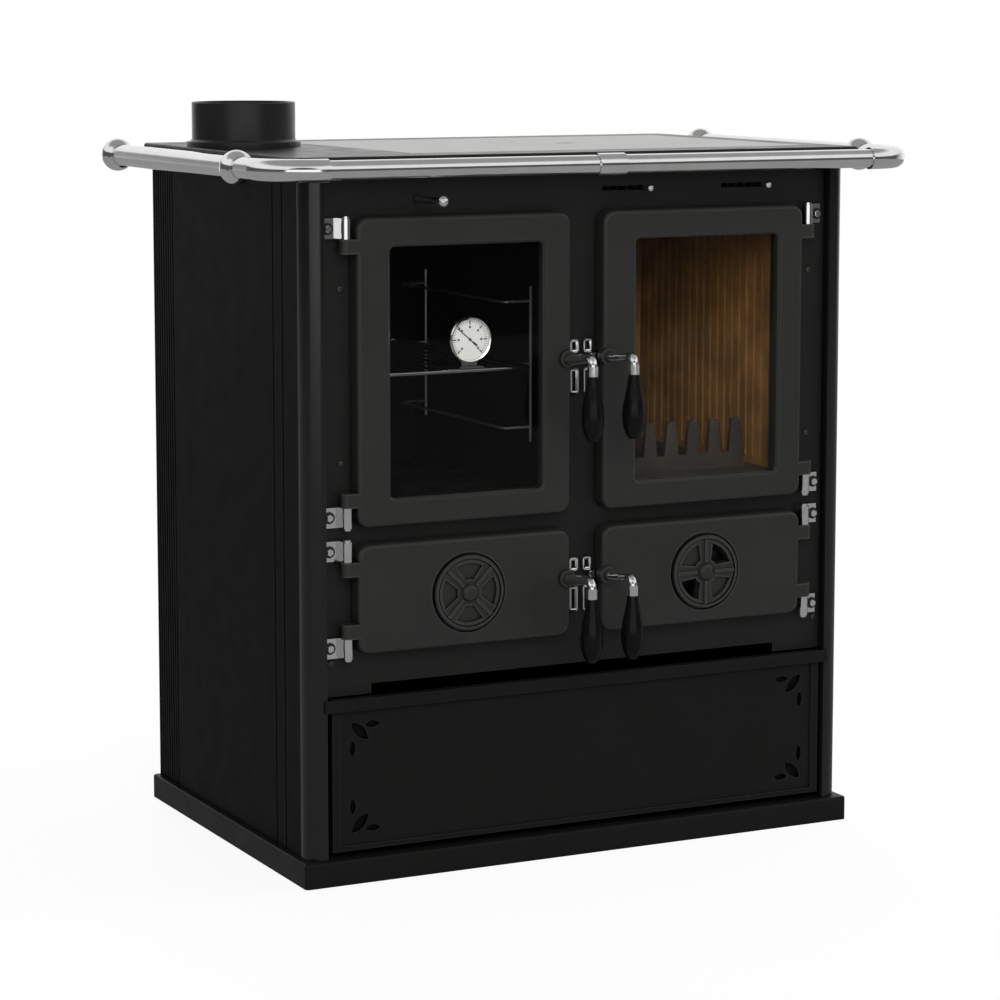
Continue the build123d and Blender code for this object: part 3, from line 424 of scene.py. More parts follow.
def rope(name, colour):
    """Glass-fibre rope, dull and slightly frayed. The braid itself is in the mesh."""
    r = Recipe(name, roughness=0.9, sheen_weight=0.3)
    fray = r.noise(1800, 3, 0.7)
    r.set(base_color=r.tint(fray, scaled(colour, 0.6), scaled(colour, 1.7)))
    r.relief((fray, 0.2 * MM))
    return r.material


def gloss_black(name, colour):
    """Lacquered grip: deep gloss with a few soft rub marks."""
    r = Recipe(name, specular_ior_level=0.12)
    rub = r.noise(60, 4, 0.6)
    r.set(base_color=r.tint(rub, scaled(colour, 0.8), scaled(colour, 1.8)),
          roughness=r.between(rub, 0.14, 0.24, 0.35, 0.75))
    r.relief((r.noise(500, 2), 0.01 * MM))
    return r.material


def door_glass(name, colour):
    """Clear heat-proof glass."""
    r = Recipe(name, base_color=colour, transmission_weight=1.0, ior=1.47, specular_tint=(0.15, 0.15, 0.15))
    r.set(roughness=r.between(r.noise(20, 3), 0.0, 0.03, 0.4, 0.8))
    return r.material


def plain_paint(name, colour, rough=0.6):
    """Printed or painted marks and dial faces, with a faint tooth."""
    r = Recipe(name)
    tooth = r.noise(900, 2)
    r.set(base_color=r.tint(tooth, scaled(colour, 0.94), scaled(colour, 1.03)),
          roughness=r.between(tooth, rough - 0.06, rough + 0.06))
    r.relief((tooth, 0.005 * MM))
    return r.material


def bright_front(name, metal, dark, y):
    """One turned piece that is bright in front of the depth y and dark behind it."""
    r = Recipe(name, metallic=1.0)
    depth = r.node("ShaderNodeSeparateXYZ", {0: r.place}).outputs["Y"]
    back = r.between(depth, 0, 1, y - 0.2 * MM, y + 0.2 * MM)
    smear = r.noise(60, 3)
    shine = r.tint(smear, scaled(metal, 0.92), scaled(metal, 1.04))
    r.set(base_color=r.tint(back, shine, dark), roughness=r.between(back, 0.14, 0.5))
    r.relief((smear, 0.003 * MM))
    return r.material


# Finishes that are made already, by name
FINISHED = {}


def finish(name):
    """The material of one finish, made the first time that it is asked for."""
    if name in FINISHED:
        return FINISHED[name]
    look = bpy.context.scene.stove_finishes
    rough = look.enamel_rough
    makers = {
        # A darker copy of the enamel for the side and back panels: painted shade on the faces turned away from
        # the key light
        "Side enamel with painted shade": lambda n: enamel(n, scaled(look.enamel, 0.7), rough, 260, 1100, 0.02),
        "Post enamel": lambda n: enamel(n, scaled(look.enamel, 0.6), rough - 0.24, 320, 1300, 0.42),
        # The sheet enamel's edges are nine times paler: a painted highlight on the plinth and the drawer lip
        "Sheet enamel": lambda n: enamel(n, scaled(look.enamel, 0.85), rough, 260, 1100, 0.1, 9.0),
        "Plate enamel": lambda n: enamel(n, scaled(look.enamel, 1.2), rough, 240, 700, 0.18),
        "Cast enamel": lambda n: enamel(n, scaled(look.enamel, 1.95), rough, 210, 600, 0.3, 4.0, casting=True),
        "Hob enamel": lambda n: enamel(n, scaled(look.hob, 0.85), rough - 0.08, 320, 1300, 0.18),
        "Collar enamel": lambda n: enamel(n, scaled(look.hob, 1.3), rough - 0.1, 320, 1300, 0.3),
        # Near-black enamel of the oven; on the drawer box it is painted shade, so the leaf cut-outs in the
        # drawer front read dark
        "Oven enamel and painted shade": lambda n: enamel(n, scaled(look.hob, 0.35), rough, 60, 1500, 0.04),
        "Machined iron": lambda n: machined_iron(n, look.iron),
        "Bright metal": lambda n: chrome(n, look.chrome),
        "Oven wire": lambda n: chrome(n, scaled(look.chrome, 0.3)),
        "Guide wire": lambda n: sheet_steel(n, scaled(look.chrome, 0.55), 0.4),
        "Bright knob": lambda n: bright_front(n, look.chrome, scaled(look.hob, 2), PLATE_Y + 1 * MM),
        "Damper metal": lambda n: bright_front(n, look.chrome, scaled(look.steel, 0.4), PLATE_Y + 12 * MM),
        "Dark sheet": lambda n: sheet_steel(n, scaled(look.steel, 0.3), 0.5),
        "Zinc sheet": lambda n: sheet_steel(n, look.steel, 0.38),
        "Raw iron": lambda n: cast_iron(n, scaled(look.raw_iron, 0.5), (0.028, 0.020, 0.014)),
        # Lining colour and its warmer patches: partly the lining's own brown, partly painted firelight
        "Fluted lining with painted firelight": lambda n: cast_iron(n, look.lining, scaled(look.lining, 1.3)),
        "Rope": lambda n: rope(n, look.rope),
        "Gloss black": lambda n: gloss_black(n, look.grip),
        "Door glass": lambda n: door_glass(n, look.glass),
        "Dial white": lambda n: plain_paint(n, look.dial, 0.45),
        "Dial black": lambda n: plain_paint(n, (0.02, 0.02, 0.02)),
    }
    FINISHED[name] = makers[name](name)
    return FINISHED[name]


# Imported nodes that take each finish
NODE_FINISH = {
    # The side and back panels take the darker enamel copy as painted shade
    "Side enamel with painted shade": ("side_panel_left", "side_panel_right", "back_panel"),
    "Sheet enamel": ("plinth", "drawer_front"),
    "Plate enamel": ("front_plate",),
    "Cast enamel": ("oven_door", "fire_door", "soot_door", "ash_door", "soot_rosette", "air_register"),
    "Hob enamel": ("hob_flue_plate", "hob_frame"),
    "Collar enamel": ("flue_collar",),
    # The drawer box behind the cut-outs takes the near-black enamel as painted shade
    "Oven enamel and painted shade": ("oven_box", "drawer_box"),
    "Machined iron": ("cooking_plate", "ring_outer", "ring_middle", "ring_lid"),
    "Bright metal": ("rail_front", "rail_left", "rail_right", "rail_balls", "rail_sleeve", "handle_oven",
                     "handle_fire", "handle_soot", "handle_ash", "keepers", "hinge_brackets", "hinge_pins"),
    "Oven wire": ("oven_shelf", "shelf_guides", "thermometer"),
    "Bright knob": ("primary_air_slider", "secondary_air_slider"),
    "Damper metal": ("damper",),
    "Dark sheet": ("firebox_shell", "smoke_shelf", "lower_chambers", "heat_shield"),
    "Zinc sheet": ("base_plate", "ash_pan", "drawer_runners"),
    "Raw iron": ("grate", "log_retainer", "hearth"),
    "Fluted lining with painted firelight": ("fire_lining",),
    "Rope": ("oven_gasket", "fire_gasket", "soot_gasket", "ash_gasket"),
    "Gloss black": ("grip_oven", "grip_fire", "grip_soot", "grip_ash"),
    "Door glass": ("oven_glass", "fire_glass"),
}


class STOVE_OT_finishes(Operator):
    """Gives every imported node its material."""

    bl_idname = "stove.finishes"
    bl_label = "Finishes"

    def execute(self, context):
        for look, names in NODE_FINISH.items():
            for name in names:
                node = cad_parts[name]
                node.data.materials.clear()
                node.data.materials.append(finish(look))
        for name in ("oven_glass", "fire_glass"):
            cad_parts[name].visible_shadow = False
        missing = set(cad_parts) - {n for names in NODE_FINISH.values() for n in names}
        if missing:
            raise RuntimeError(f"no finish for {sorted(missing)}")
        return {"FINISHED"}


# Small fittings: directions, the places (x, z) of the screws on the right half of the front plate, how far each
# door's hinge brackets stand from its ends, and the bolts' places on a bracket
FRONT = (0, -1, 0)
ACROSS = (1, 0, 0)
UP = (0, 0, 1)
PLATE_SCREWS = ((0.320, 0.706), (0.320, 0.501), (0.334, 0.264))
HINGE_SET = {"oven_door": 24.5 * MM, "fire_door": 24.5 * MM, "soot_door": 19.5 * MM, "ash_door": 19.5 * MM}
BRACKET = 24 * MM
BOLT_OUT = 11 * MM


def screw(x, y, z, width):
    """A low domed head: a quarter ellipse from rim to crown, with a round dimple for its recess."""
    r = width / 2
    turn = np.linspace(0, TURN / 4, 7)[1:-1]
    dome = [(r * math.cos(t), 0.2 * r + 0.4 * r * math.sin(t)) for t in turn]
    foot = [(0, -0.5 * r), (r, -0.5 * r), (r, 0.2 * r)]
    dimple = [(0.3 * r, 0.58 * r), (0.22 * r, 0.3 * r), (0, 0.3 * r)]
    return spun(foot + dome + dimple, (x, y, z), FRONT, ACROSS, 20)


def washer(x, y, z, width):
    """A round washer under a bolt head, with a turned edge."""
    r = width / 2
    profile = [(0, -0.2 * r), (1.8 * r, -0.2 * r), (1.8 * r, 0.15 * r), (1.7 * r, 0.25 * r), (0, 0.25 * r)]
    return spun(profile, (x, y, z), FRONT, ACROSS, 24)


def bolt(x, y, z, width):
    """A hexagon head with a turned chamfer."""
    r = width / 2
    profile = [(0, 0.2 * r), (r, 0.2 * r), (r, 1.0 * r), (0.86 * r, 1.12 * r), (0, 1.12 * r)]
    return spun(profile, (x, y, z), FRONT, ACROSS, 24, 6)


class STOVE_OT_screws(Operator):
    """Round-headed screws that hold the front plate."""

    bl_idname = "stove.screws"
    bl_label = "Plate screws"

    def execute(self, context):
        width = context.scene.stove_sizes.screw_head
        heads = [screw(side * x, PLATE_Y, z, width) for side in (-1, 1) for x, z in PLATE_SCREWS]
        piece("plate_screws", heads, finish("Cast enamel"), "stove")
        return {"FINISHED"}


class STOVE_OT_bolts(Operator):
    """Hexagon bolts on their washers in the hinge brackets."""

    bl_idname = "stove.bolts"
    bl_label = "Hinge bolts"

    def execute(self, context):
        width = context.scene.stove_sizes.bolt_head
        heads, washers = [], []
        for door in DOORS:
            lo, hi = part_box(door)
            side = door_side(door)
            outer = hi.x if side > 0 else lo.x
            inset = HINGE_SET[door]
            for z in (hi.z - inset + BRACKET / 2, lo.z + inset - BRACKET / 2):
                place = outer + side * BOLT_OUT, BRACKET_Y, z
                heads.append(bolt(*place, width))
                washers.append(washer(*place, width))
        piece("hinge_bolts", heads, finish("Bright metal"), "stove")
        piece("hinge_washers", washers, finish("Dark sheet"), "stove")
        return {"FINISHED"}


# Rolled front corners of the side panels: bend radius, width of the front face, thickness of the glaze, and how
# far the glaze runs on along the side
POST_R = 20 * MM
POST_W = 24 * MM
GLAZE = 0.5 * MM
GLAZE_RUN = 4 * MM


class STOVE_OT_posts(Operator):
    """The glossy glaze on the rolled front corners: a thin skin on (x, y) = centre + radius x (cos, sin)."""

    bl_idname = "stove.posts"
    bl_label = "Post glaze"

    def execute(self, context):
        for node, side in (("side_panel_left", -1), ("side_panel_right", 1)):
            lo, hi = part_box(node)
            outer = lo.x if side < 0 else hi.x
            turn = np.linspace(0, TURN / 4, 15)
            across = outer - side * np.concatenate([[0], POST_R * (1 - np.cos(turn)), [POST_W]])
            depth = lo.y + np.concatenate([[POST_R + GLAZE_RUN], POST_R * (1 - np.sin(turn)), [0]])
            bend = np.stack([side * np.cos(turn), -np.sin(turn)], axis=1)
            normal = np.concatenate([[(side, 0)], bend, [(0, -1)]])
            middle = np.stack([across, depth], axis=1)
            ring = np.concatenate([middle + GLAZE * normal, (middle - 0.2 * GLAZE * normal)[::-1]])
            seam = np.concatenate([middle, middle[::-1]])
            levels = ((seam, lo.z), (ring, lo.z), (ring, hi.z), (seam, hi.z))
            points = np.stack([np.column_stack([flat, np.full(len(flat), z)]) for flat, z in levels])
            piece(node.replace("side_panel", "post_glaze"), [grid_shape(points, wrap_columns=True)],
                  finish("Post enamel"), "stove")
        return {"FINISHED"}


# Keepers: the eye above each latch and the staple below it, as low and high edge over the latch's axis and the
# width of the flat bar; the width of a loop; how far the upper and lower latches are from the node's ends
EYE = (4 * MM, 22 * MM, 3.9 * MM)
STAPLE = (-46 * MM, -13 * MM, 4.0 * MM)
KEEPER_W = 13 * MM
KEEPER_UP = 24 * MM
KEEPER_DOWN = 48 * MM
KEEPER_BEND = 2.2 * MM
KEEPER_SOFTNESS = 0.88


def staple(x, y0, y1, z0, z1, width, flat):
    """A flat bar bent into an upright loop: point = loop path + section, where the section is a rectangle with
    |depth| <= (y1 - y0) / 2 and |across| <= flat / 2, and its corners are cut off at a share of their reach."""
    half = (y1 - y0) / 2
    edge = flat / 2
    left, right, low, high = x - width / 2 + edge, x + width / 2 - edge, z0 + edge, z1 - edge
    y = (y0 + y1) / 2
    corners = [(left, y, low), (right, y, low), (right, y, high), (left, y, high)]
    angle = np.linspace(0, TURN, 16, endpoint=False) + TURN / 32
    section = np.minimum(half / np.abs(np.cos(angle)), edge / np.abs(np.sin(angle)))
    section = np.minimum(section, KEEPER_SOFTNESS * np.hypot(half, edge))
    return tube(rounded_path(corners, KEEPER_BEND, closed=True), (0, 1, 0), section[None, :], 16, closed=True)


class STOVE_OT_keepers(Operator):
    """Open eyes and tall staples that the latch tongues hook into, in place of the plain keepers."""

    bl_idname = "stove.keepers"
    bl_label = "Keepers"

    def execute(self, context):
        lo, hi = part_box("keepers")
        loops = []
        for x in (lo.x + KEEPER_W / 2, hi.x - KEEPER_W / 2):
            for latch_z in (hi.z - KEEPER_UP, lo.z + KEEPER_DOWN):
                for low, high, flat in (EYE, STAPLE):
                    loops.append(staple(x, lo.y, PLATE_Y, latch_z + low, latch_z + high, KEEPER_W, flat))
        made = piece("keeper_loops", loops, finish("Bright metal"), "stove")
        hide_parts("keepers")
        return {"FINISHED"}


# Log retainer: tapered upright teeth on a strip with a foot
TEETH = 7
TOOTH_FOOT = 20 * MM
TOOTH_TIP = 12.5 * MM
TOOTH_ROUND = 3 * MM
TOOTH_LAP = 1 * MM
TOOTH_EDGE = 0.5 * MM
COMB_PLATE = 8 * MM
COMB_STRIP = 18 * MM
COMB_FOOT = 4 * MM


def tooth(x, y, low, high):
    """A tapered upright tooth: point = centre + half width x |cos| ^ 0.3 + half plate x |sin| ^ 0.3, each with
    its sign. The half width falls evenly from foot to tip, and over the tip's rounding both lose a share of
    1 - sqrt(1 - u ^ 2), where u goes from 0 to 1."""
    u = np.sin(np.linspace(0, TURN / 4, 7))
    z = np.concatenate([[low, low], high - TOOTH_ROUND + TOOTH_ROUND * u, [high]])
    drop = TOOTH_ROUND * (1 - np.sqrt(np.clip(1 - u ** 2, 0, 1)))
    drop = np.concatenate([[0, 0], drop, [0]])
    half = (TOOTH_FOOT + (TOOTH_TIP - TOOTH_FOOT) * (z - low) / (high - low)) / 2 - drop
    depth = COMB_PLATE / 2 - drop / 2
    half[[0, -1]] = depth[[0, -1]] = 0
    angle = np.linspace(0, TURN, 24, endpoint=False) + TURN / 48
    across, deep = (np.sign(way) * np.abs(way) ** 0.3 for way in (np.cos(angle), np.sin(angle)))
    points = np.stack([x + half[:, None] * across, y + depth[:, None] * deep, z[:, None] + 0 * across], axis=-1)
    return grid_shape(points, wrap_columns=True)


class STOVE_OT_comb(Operator):
    """The log retainer with tapered teeth on a strip, in place of its straight bars."""

    bl_idname = "stove.comb"
    bl_label = "Log retainer"

    def execute(self, context):
        lo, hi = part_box("log_retainer")
        y = (lo.y + hi.y) / 2
        thin = COMB_PLATE / 2
        foot, top = lo.z + COMB_FOOT, lo.z + COMB_STRIP
        section = np.array([(lo.y, lo.z), (hi.y, lo.z), (hi.y, foot), (y + thin, foot), (y + thin, top),
                            (y - thin, top), (y - thin, foot), (lo.y, foot)])
        inside = np.array((y, lo.z + 0.75 * COMB_FOOT))
        ends = np.array([lo.x, lo.x, hi.x, hi.x])[:, None, None] + np.zeros((4, len(section), 1))
        spread = np.array([0, 1, 1, 0])[:, None, None]
        points = np.concatenate([ends, inside + spread * (section - inside)], axis=-1)
        edge = TOOTH_FOOT / 2 + TOOTH_EDGE
        places = np.linspace(lo.x + edge, hi.x - edge, TEETH)
        teeth = [tooth(x, y, top - TOOTH_LAP, hi.z) for x in places]
        made = piece("log_retainer_comb", [grid_shape(points, wrap_columns=True), *teeth],
                     finish("Raw iron"), "stove")
        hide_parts("log_retainer")
        return {"FINISHED"}


# Domes on the two rosettes' bosses: radius, rise, and how deep the dome is sunk
BOSS_R = 10.6 * MM
BOSS_RISE = 6.6 * MM
BOSS_SUNK = 5 * MM


class STOVE_OT_bosses(Operator):
    """Domes on the bosses of the rosette and the air register: height = rise x sqrt(1 - (r / radius) ^ 4)."""

    bl_idname = "stove.bosses"
    bl_label = "Rosette bosses"

    def execute(self, context):
        out = BOSS_R * np.sin(np.linspace(0, TURN / 4, 14))[::-1]
        dome = [(r, BOSS_RISE * math.sqrt(max(0.0, 1 - (r / BOSS_R) ** 4)) - BOSS_SUNK) for r in out]
        for node, body in (("soot_rosette", "soot_door"), ("air_register", "air_register")):
            lo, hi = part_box(node)
            centre = (lo.x + hi.x) / 2, lo.y, (lo.z + hi.z) / 2
            shape = spun([(0, -BOSS_SUNK), *dome], centre, FRONT, ACROSS, 40)
            piece(body + "_boss", [shape], finish("Cast enamel"), body)
        return {"FINISHED"}


# Thermometer: radius, how deep the face lies, where the scale starts and how far it runs, the needle's way, how
# often a mark is long, and how far marks and needle stand out
DIAL_R = 27.5 * MM
DIAL_DEEP = 4 * MM
DIAL_START = math.radians(225)
DIAL_SWEEP = math.radians(270)
NEEDLE_WAY = math.radians(140)
LONG_EVERY = 6
MARK_PROUD = 0.15 * MM
NEEDLE_PROUD = 0.5 * MM


def bar(centre, angle, start, end, half, proud):
    """A flat bar on the dial along a direction: four corners at +-half across, raised by proud."""
    along = np.array((math.cos(angle), 0, math.sin(angle)))
    across = np.array((-math.sin(angle), 0, math.cos(angle)))
    up = np.array(FRONT, float)
    ring = np.array([(-half, 0), (-half, proud), (half, proud), (half, 0)])
    ends = np.array([start, start, end, end])
    scale = np.array([0, 1, 1, 0])[:, None, None]
    points = (np.array(centre) + ends[:, None, None] * along
              + scale * (ring[None, :, :1] * across + ring[None, :, 1:] * up))
    return grid_shape(points, wrap_columns=True)


class STOVE_OT_thermometer(Operator):
    """Face, marks, needle and bezel of the oven thermometer."""

    bl_idname = "stove.thermometer"
    bl_label = "Thermometer"

    def execute(self, context):
        lo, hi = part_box("thermometer")
        centre = (lo.x + hi.x) / 2, lo.y + DIAL_DEEP, hi.z - DIAL_R
        inner = DIAL_R - 2.8 * MM
        bezel = [(inner, -1 * MM), (DIAL_R, -1 * MM), (DIAL_R, 2.6 * MM), (DIAL_R - 1.2 * MM, 3.8 * MM),
                 (inner, 3.2 * MM), (inner, -1 * MM)]
        rim = DIAL_R - 2.7 * MM
        disc = [(0, -0.6 * MM), (rim, -0.6 * MM), (rim, 0), (0, 0)]
        hub = [(0, 0), (1.8 * MM, 0), (1.8 * MM, 0.7 * MM), (0, 0.9 * MM)]
        needle = [bar(centre, NEEDLE_WAY, -0.3 * DIAL_R, 0.78 * DIAL_R, 0.6 * MM, NEEDLE_PROUD),
                  bar(centre, NEEDLE_WAY, -0.45 * DIAL_R, -0.2 * DIAL_R, 1.3 * MM, NEEDLE_PROUD),
                  spun(hub, centre, FRONT, ACROSS, 16)]
        count = context.scene.stove_sizes.tick_count
        marks = []
        for n in range(count + 1):
            way = DIAL_START - n * DIAL_SWEEP / count
            start, half = (0.74, 0.3 * MM) if n % LONG_EVERY else (0.66, 0.8 * MM)
            marks.append(bar(centre, way, start * DIAL_R, 0.84 * DIAL_R, half, MARK_PROUD))
            if n % LONG_EVERY == 0:
                marks.append(bar(centre, way, 0.5 * DIAL_R, 0.6 * DIAL_R, 1.2 * MM, MARK_PROUD))
        for name, shapes, look, slot in (
                ("dial_bezel", [spun(bezel, centre, FRONT, ACROSS, 64)], "Bright metal", "bright"),
                ("dial_face", [spun(disc, centre, FRONT, ACROSS, 64)], "Dial white", "dial"),
                ("dial_marks", marks, "Dial black", "dial"),
                ("dial_needle", needle, "Dial black", "dial")):
            piece(name, shapes, finish(look), "stove")
        return {"FINISHED"}


# Oven shelf: half thickness and bend of its rim, its wires, their pitch and radius. Guides: how far the rungs
# reach in, their distance, how far the middle one lies below the shelf, their bend, and the uprights' ends
RIM_HALF = 3 * MM
RIM_BEND = 8 * MM
SHELF_WIRES = 10
SHELF_PITCH = 19 * MM
SHELF_WIRE_R = 2 * MM
RUNG_IN = 37.5 * MM
RUNG_PITCH = 78 * MM
RUNG_BELOW = 4.5 * MM
RUNG_BEND = 6 * MM
UPRIGHT_END = 18 * MM
WIRE_SIDES = 10


class STOVE_OT_oven_wires(Operator):
    """The wire shelf and its guides in round wire."""

    bl_idname = "stove.oven_wires"
    bl_label = "Oven wires"

    def execute(self, context):
        lo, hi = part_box("oven_shelf")
        z = (lo.z + hi.z) / 2
        x0, x1, y0, y1 = lo.x + RIM_HALF, hi.x - RIM_HALF, lo.y + RIM_HALF, hi.y - RIM_HALF
        rim = rounded_path([(x0, y0, z), (x1, y0, z), (x1, y1, z), (x0, y1, z)], RIM_BEND, closed=True)
        wires = [tube(rim, UP, RIM_HALF, 12, closed=True)]
        for n in range(SHELF_WIRES):
            x = (x0 + x1) / 2 + (n - (SHELF_WIRES - 1) / 2) * SHELF_PITCH
            wires.append(tube([(x, y0, z), (x, y1, z)], UP, SHELF_WIRE_R, WIRE_SIDES))
        shelf = piece("oven_shelf_wire", wires, finish("Oven wire"), "stove")
        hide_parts("oven_shelf")

        r = context.scene.stove_sizes.wire / 2
        lo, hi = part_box("shelf_guides")
        front, back = lo.y + r, hi.y - r
        rows = [z - RUNG_BELOW + n * RUNG_PITCH for n in (-1, 0, 1)]
        wires = []
        for wall, foot in ((lo.x + r, lo.x + RUNG_IN), (hi.x - r, hi.x - RUNG_IN)):
            for row in rows:
                corners = [(wall, front, row), (foot, front, row), (foot, back, row), (wall, back, row)]
                wires.append(tube(rounded_path(corners, RUNG_BEND), UP, r, WIRE_SIDES))
            for y in (front, back):
                ends = [(wall, y, rows[0] - UPRIGHT_END), (wall, y, rows[-1] + UPRIGHT_END)]
                wires.append(tube(ends, (0, 1, 0), r, WIRE_SIDES))
        guides = piece("shelf_guide_wire", wires, finish("Guide wire"), "stove")
        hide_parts("shelf_guides")
        return {"FINISHED"}


# Rope seals: half width, bend at the corners, distance of the points along the rope, points in one turn of the
# braid, and how deep its strands stand
ROPE_HALF = 3 * MM
ROPE_BEND = 9 * MM
ROPE_STEP = 1.6 * MM
BRAID_TURN = 6
BRAID_DEEP = 0.07


def even_steps(path, step):
    """A closed path sampled again at equal steps along its length."""
    closed = np.vstack([path, path[:1]])
    run = np.concatenate([[0], np.cumsum(np.linalg.norm(np.diff(closed, axis=0), axis=1))])
    at = np.linspace(0, run[-1], int(run[-1] / step), endpoint=False)
    return np.stack([np.interp(at, run, closed[:, k]) for k in range(3)], axis=1)


class STOVE_OT_gaskets(Operator):
    """Braided rope seals behind the four doors: radius = flattened round x braid, where the braid is the higher
    of two waves that run round the rope in opposite ways."""

    bl_idname = "stove.gaskets"
    bl_label = "Rope seals"

    def execute(self, context):
        angle = np.linspace(0, TURN, 16, endpoint=False)[None, :]
        for door in DOORS:
            node = door.replace("door", "gasket")
            lo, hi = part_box(node)
            y = (lo.y + hi.y) / 2
            x0, x1, z0, z1 = lo.x + ROPE_HALF, hi.x - ROPE_HALF, lo.z + ROPE_HALF, hi.z - ROPE_HALF
            loop = rounded_path([(x0, y, z0), (x1, y, z0), (x1, y, z1), (x0, y, z1)], ROPE_BEND, closed=True)
            path = even_steps(loop, ROPE_STEP)
            count = len(path)
            travel = np.arange(count)[:, None] * (round(count / BRAID_TURN) * TURN / count)
            braid = np.maximum(np.sin(travel + 2 * angle), np.sin(travel - 2 * angle))
            flat = np.minimum((hi.y - lo.y) / 2 / np.abs(np.cos(angle)).clip(0.2), ROPE_HALF)
            radius = flat * (1 - BRAID_DEEP + BRAID_DEEP * braid)
            seal = piece(node.replace("gasket", "rope"), [tube(path, (0, 1, 0), radius, 16, closed=True)],
                         finish("Rope"), door, sharp=180)
            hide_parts(node)
        return {"FINISHED"}


# Camera and lights: the film's width, the point that the lights face, and each light's name, place, width, and
# power as a share of its setting
FILM = 36
AIM = (0, 0, 0.45)
KEY_LIGHT = ("Key light", (-0.9, -3.4, 2.3), 2.4, 1.0)
FILL_LIGHTS = (("Left fill", (-3.2, -0.6, 1.8), 2.0, 0.4),
               ("Right fill", (3.2, -0.8, 1.8), 2.0, 3.6),
               ("Back fill", (0.6, 3.2, 1.6), 2.0, 4.0))

# Surroundings that bright metal mirrors. Ways: the backdrop behind and to the right, and the window behind the
# camera. Edges: how far along its way, or how high over the horizon, each area starts to show and is full
BACKDROP_WAY = (0.55, 0.8, -0.25)
BACKDROP_EDGE = (0.35, 0.9)
WINDOW_WAY = (-0.36, -0.93, 0.0)
WINDOW_EDGE = (0.79, 0.86)
WINDOW_HEIGHT = (0.29, 0.21)
CEILING_EDGE = (0.2, 0.3)
ZENITH_EDGE = (0.6, 0.8)
ZENITH = 0.36
GLASS_REACH = 2.5

# Floor: half width, colour, roughness, and the glow that makes it white in the picture, which is full from the
# second distance on
FLOOR_HALF = 6.0
FLOOR_GREY = (0.8, 0.8, 0.8)
FLOOR_ROUGH = 0.8
FLOOR_FADE = (0.4, 1.9)
FLOOR_GLOW = (0.9, 1.0)
WHITE = (1, 1, 1)


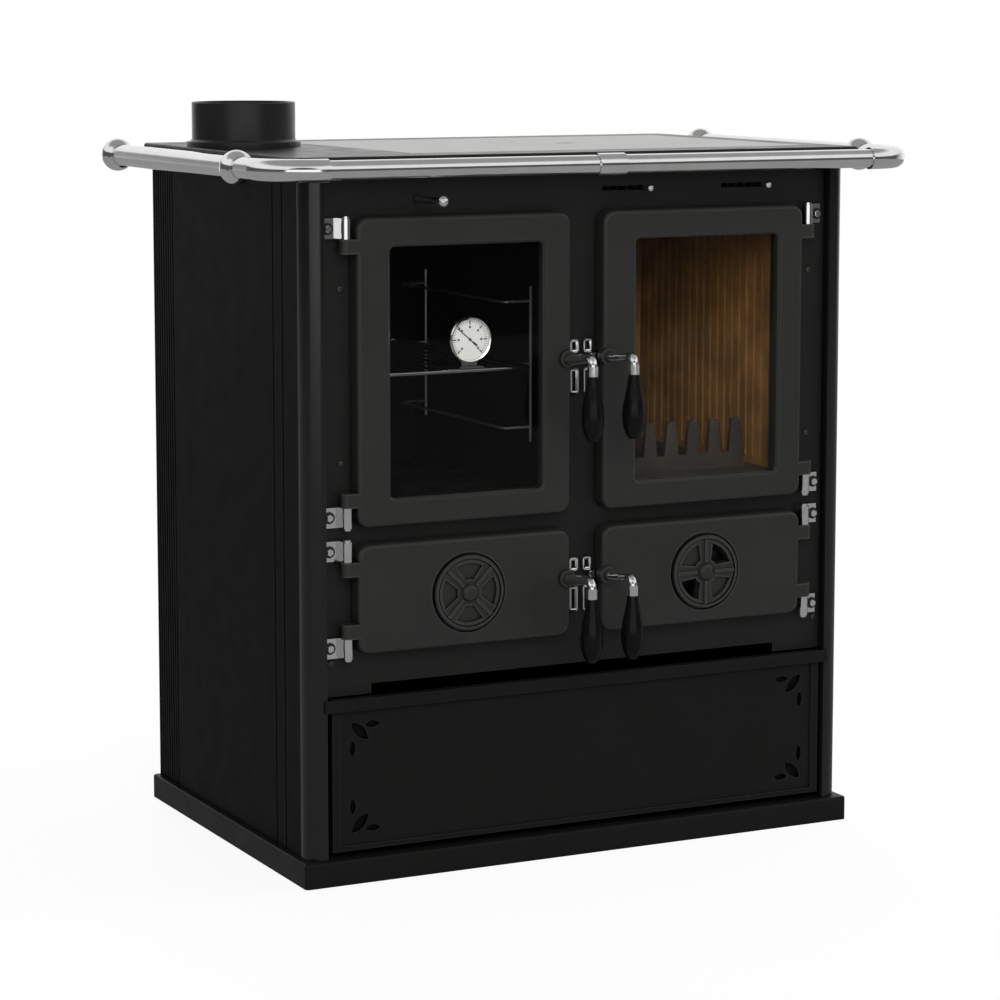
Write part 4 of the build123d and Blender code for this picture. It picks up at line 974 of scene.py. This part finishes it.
class STOVE_OT_stage(Operator):
    """Floor, soft lights, white surroundings and the camera."""

    bl_idname = "stove.stage"
    bl_label = "Studio"

    def execute(self, context):
        studio = context.scene.stove_studio
        context.scene.view_settings.view_transform = "Standard"
        self.add_camera(context.scene, studio)
        self.add_world(context.scene, studio)
        self.add_floor(context.scene, studio.ground)
        self.add_light(context.scene, studio.key, *KEY_LIGHT)
        for light in FILL_LIGHTS:
            self.add_light(context.scene, studio.fill, *light)
        return {"FINISHED"}

    def add_camera(self, scene, studio):
        data = bpy.data.cameras.new("Camera")
        data.lens = studio.lens
        data.sensor_width = FILM
        data.sensor_fit = "HORIZONTAL"
        data.shift_x = studio.shift_x
        data.shift_y = studio.shift_y
        camera = bpy.data.objects.new("Camera", data)
        camera.location = studio.camera
        camera.rotation_euler = (math.pi / 2 + studio.pitch, 0, -studio.yaw)
        scene.collection.objects.link(camera)
        scene.camera = camera

    def add_world(self, scene, studio):
        """Soft even light for dull surfaces, a room for mirrors, and white for the camera and through glass."""
        world = bpy.data.worlds.new("Studio")
        world.use_nodes = True
        scene.world = world
        net = Net(world.node_tree)
        ray = net.node("ShaderNodeLightPath").outputs
        way = net.node("ShaderNodeTexCoord").outputs["Generated"]
        height = net.dot(way, UP)
        in_front = net.ramp(net.dot(way, WINDOW_WAY), *WINDOW_EDGE)
        window = net.math("MULTIPLY", in_front, net.ramp(net.math("ABSOLUTE", height), *WINDOW_HEIGHT))
        ceiling = net.math("MULTIPLY", net.math("SUBTRACT", 1.0, in_front), net.ramp(height, *CEILING_EDGE))
        room = net.between(net.ramp(net.dot(way, BACKDROP_WAY), *BACKDROP_EDGE), studio.room, 1.0)
        room = net.between(ceiling, room, studio.ceiling)
        room = net.between(net.ramp(height, *ZENITH_EDGE), room, ZENITH * studio.ceiling)
        room = net.between(window, room, studio.window)
        light = net.between(ray["Is Glossy Ray"], studio.sky, room)
        near = net.math("LESS_THAN", ray["Ray Depth"], GLASS_REACH)
        through = net.math("MULTIPLY", ray["Is Transmission Ray"], near)
        straight = net.math("MAXIMUM", ray["Is Camera Ray"], through)
        background = net.nodes["Background"]
        net.fill(background.inputs["Color"], WHITE)
        net.fill(background.inputs["Strength"], net.between(straight, light, 1.0))

    def add_floor(self, scene, ground):
        """A pale floor that takes the stove's shadow, and glows white in the picture and weakly in mirrors."""
        recipe = Recipe("Floor", base_color=FLOOR_GREY, roughness=FLOOR_ROUGH)
        ray = recipe.node("ShaderNodeLightPath").outputs
        far = recipe.node("ShaderNodeVectorMath", {0: recipe.place}, operation="LENGTH").outputs["Value"]
        seen = recipe.math("MAXIMUM", ray["Is Camera Ray"], ray["Is Transmission Ray"])
        share = recipe.math("MULTIPLY", seen, recipe.ramp(far, *FLOOR_FADE, *FLOOR_GLOW))
        share = recipe.math("MAXIMUM", share, ray["Is Glossy Ray"])
        strength = recipe.between(ray["Is Glossy Ray"], 1.0, ground)
        glow = recipe.node("ShaderNodeEmission", {"Color": WHITE, "Strength": strength})
        mixed = recipe.node("ShaderNodeMixShader", {0: share, 1: recipe.shader.outputs[0], 2: glow.outputs[0]})
        recipe.fill(recipe.nodes["Material Output"].inputs["Surface"], mixed.outputs[0])
        mesh = bpy.data.meshes.new("Floor")
        corners = [(x * FLOOR_HALF, y * FLOOR_HALF, 0) for x, y in ((-1, -1), (1, -1), (1, 1), (-1, 1))]
        mesh.from_pydata(corners, [], [(0, 1, 2, 3)])
        mesh.materials.append(recipe.material)
        floor = bpy.data.objects.new("Floor", mesh)
        scene.collection.objects.link(floor)

    def add_light(self, scene, power, name, place, width, share):
        data = bpy.data.lights.new(name, "AREA")
        data.shape = "DISK"
        data.size = width
        data.energy = share * power
        light = bpy.data.objects.new(name, data)
        light.location = place
        away = np.array(place) - np.array(AIM)
        flat = math.hypot(away[0], away[1])
        light.rotation_euler = (math.atan2(flat, away[2]), 0, math.atan2(away[0], -away[1]))
        light.visible_glossy = False
        scene.collection.objects.link(light)


class STOVE_PT_cookstove(Panel):
    """Lists the stove's operators in the sidebar."""

    bl_label = "Wood cookstove"
    bl_idname = "STOVE_PT_cookstove"
    bl_space_type = "VIEW_3D"
    bl_region_type = "UI"
    bl_category = "Cookstove"

    def draw(self, context):
        for operator in OPERATORS:
            self.layout.operator(operator.bl_idname)
        for group in GROUPS:
            box = self.layout.box()
            box.label(text=group.removeprefix("stove_").capitalize())
            settings = getattr(context.scene, group)
            for key in settings.__annotations__:
                box.prop(settings, key)


OPERATORS = (STOVE_OT_finishes, STOVE_OT_posts, STOVE_OT_screws, STOVE_OT_bolts, STOVE_OT_keepers,
             STOVE_OT_comb, STOVE_OT_bosses, STOVE_OT_thermometer, STOVE_OT_oven_wires, STOVE_OT_gaskets,
             STOVE_OT_stage)
GROUPS = {"stove_finishes": StoveFinishes, "stove_sizes": StoveSizes, "stove_studio": StoveStudio}
CLASSES = (*GROUPS.values(), *OPERATORS, STOVE_PT_cookstove)


def register():
    for cls in CLASSES:
        bpy.utils.register_class(cls)
    for key, group in GROUPS.items():
        setattr(bpy.types.Scene, key, PointerProperty(type=group))


def unregister():
    for key in GROUPS:
        delattr(bpy.types.Scene, key)
    for cls in reversed(CLASSES):
        bpy.utils.unregister_class(cls)


def main():
    """Registers the add-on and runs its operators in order."""
    register()
    bpy.ops.stove.finishes()
    bpy.ops.stove.posts()
    bpy.ops.stove.screws()
    bpy.ops.stove.bolts()
    bpy.ops.stove.keepers()
    bpy.ops.stove.comb()
    bpy.ops.stove.bosses()
    bpy.ops.stove.thermometer()
    bpy.ops.stove.oven_wires()
    bpy.ops.stove.gaskets()
    bpy.ops.stove.stage()


if __name__ == "__main__":
    main()
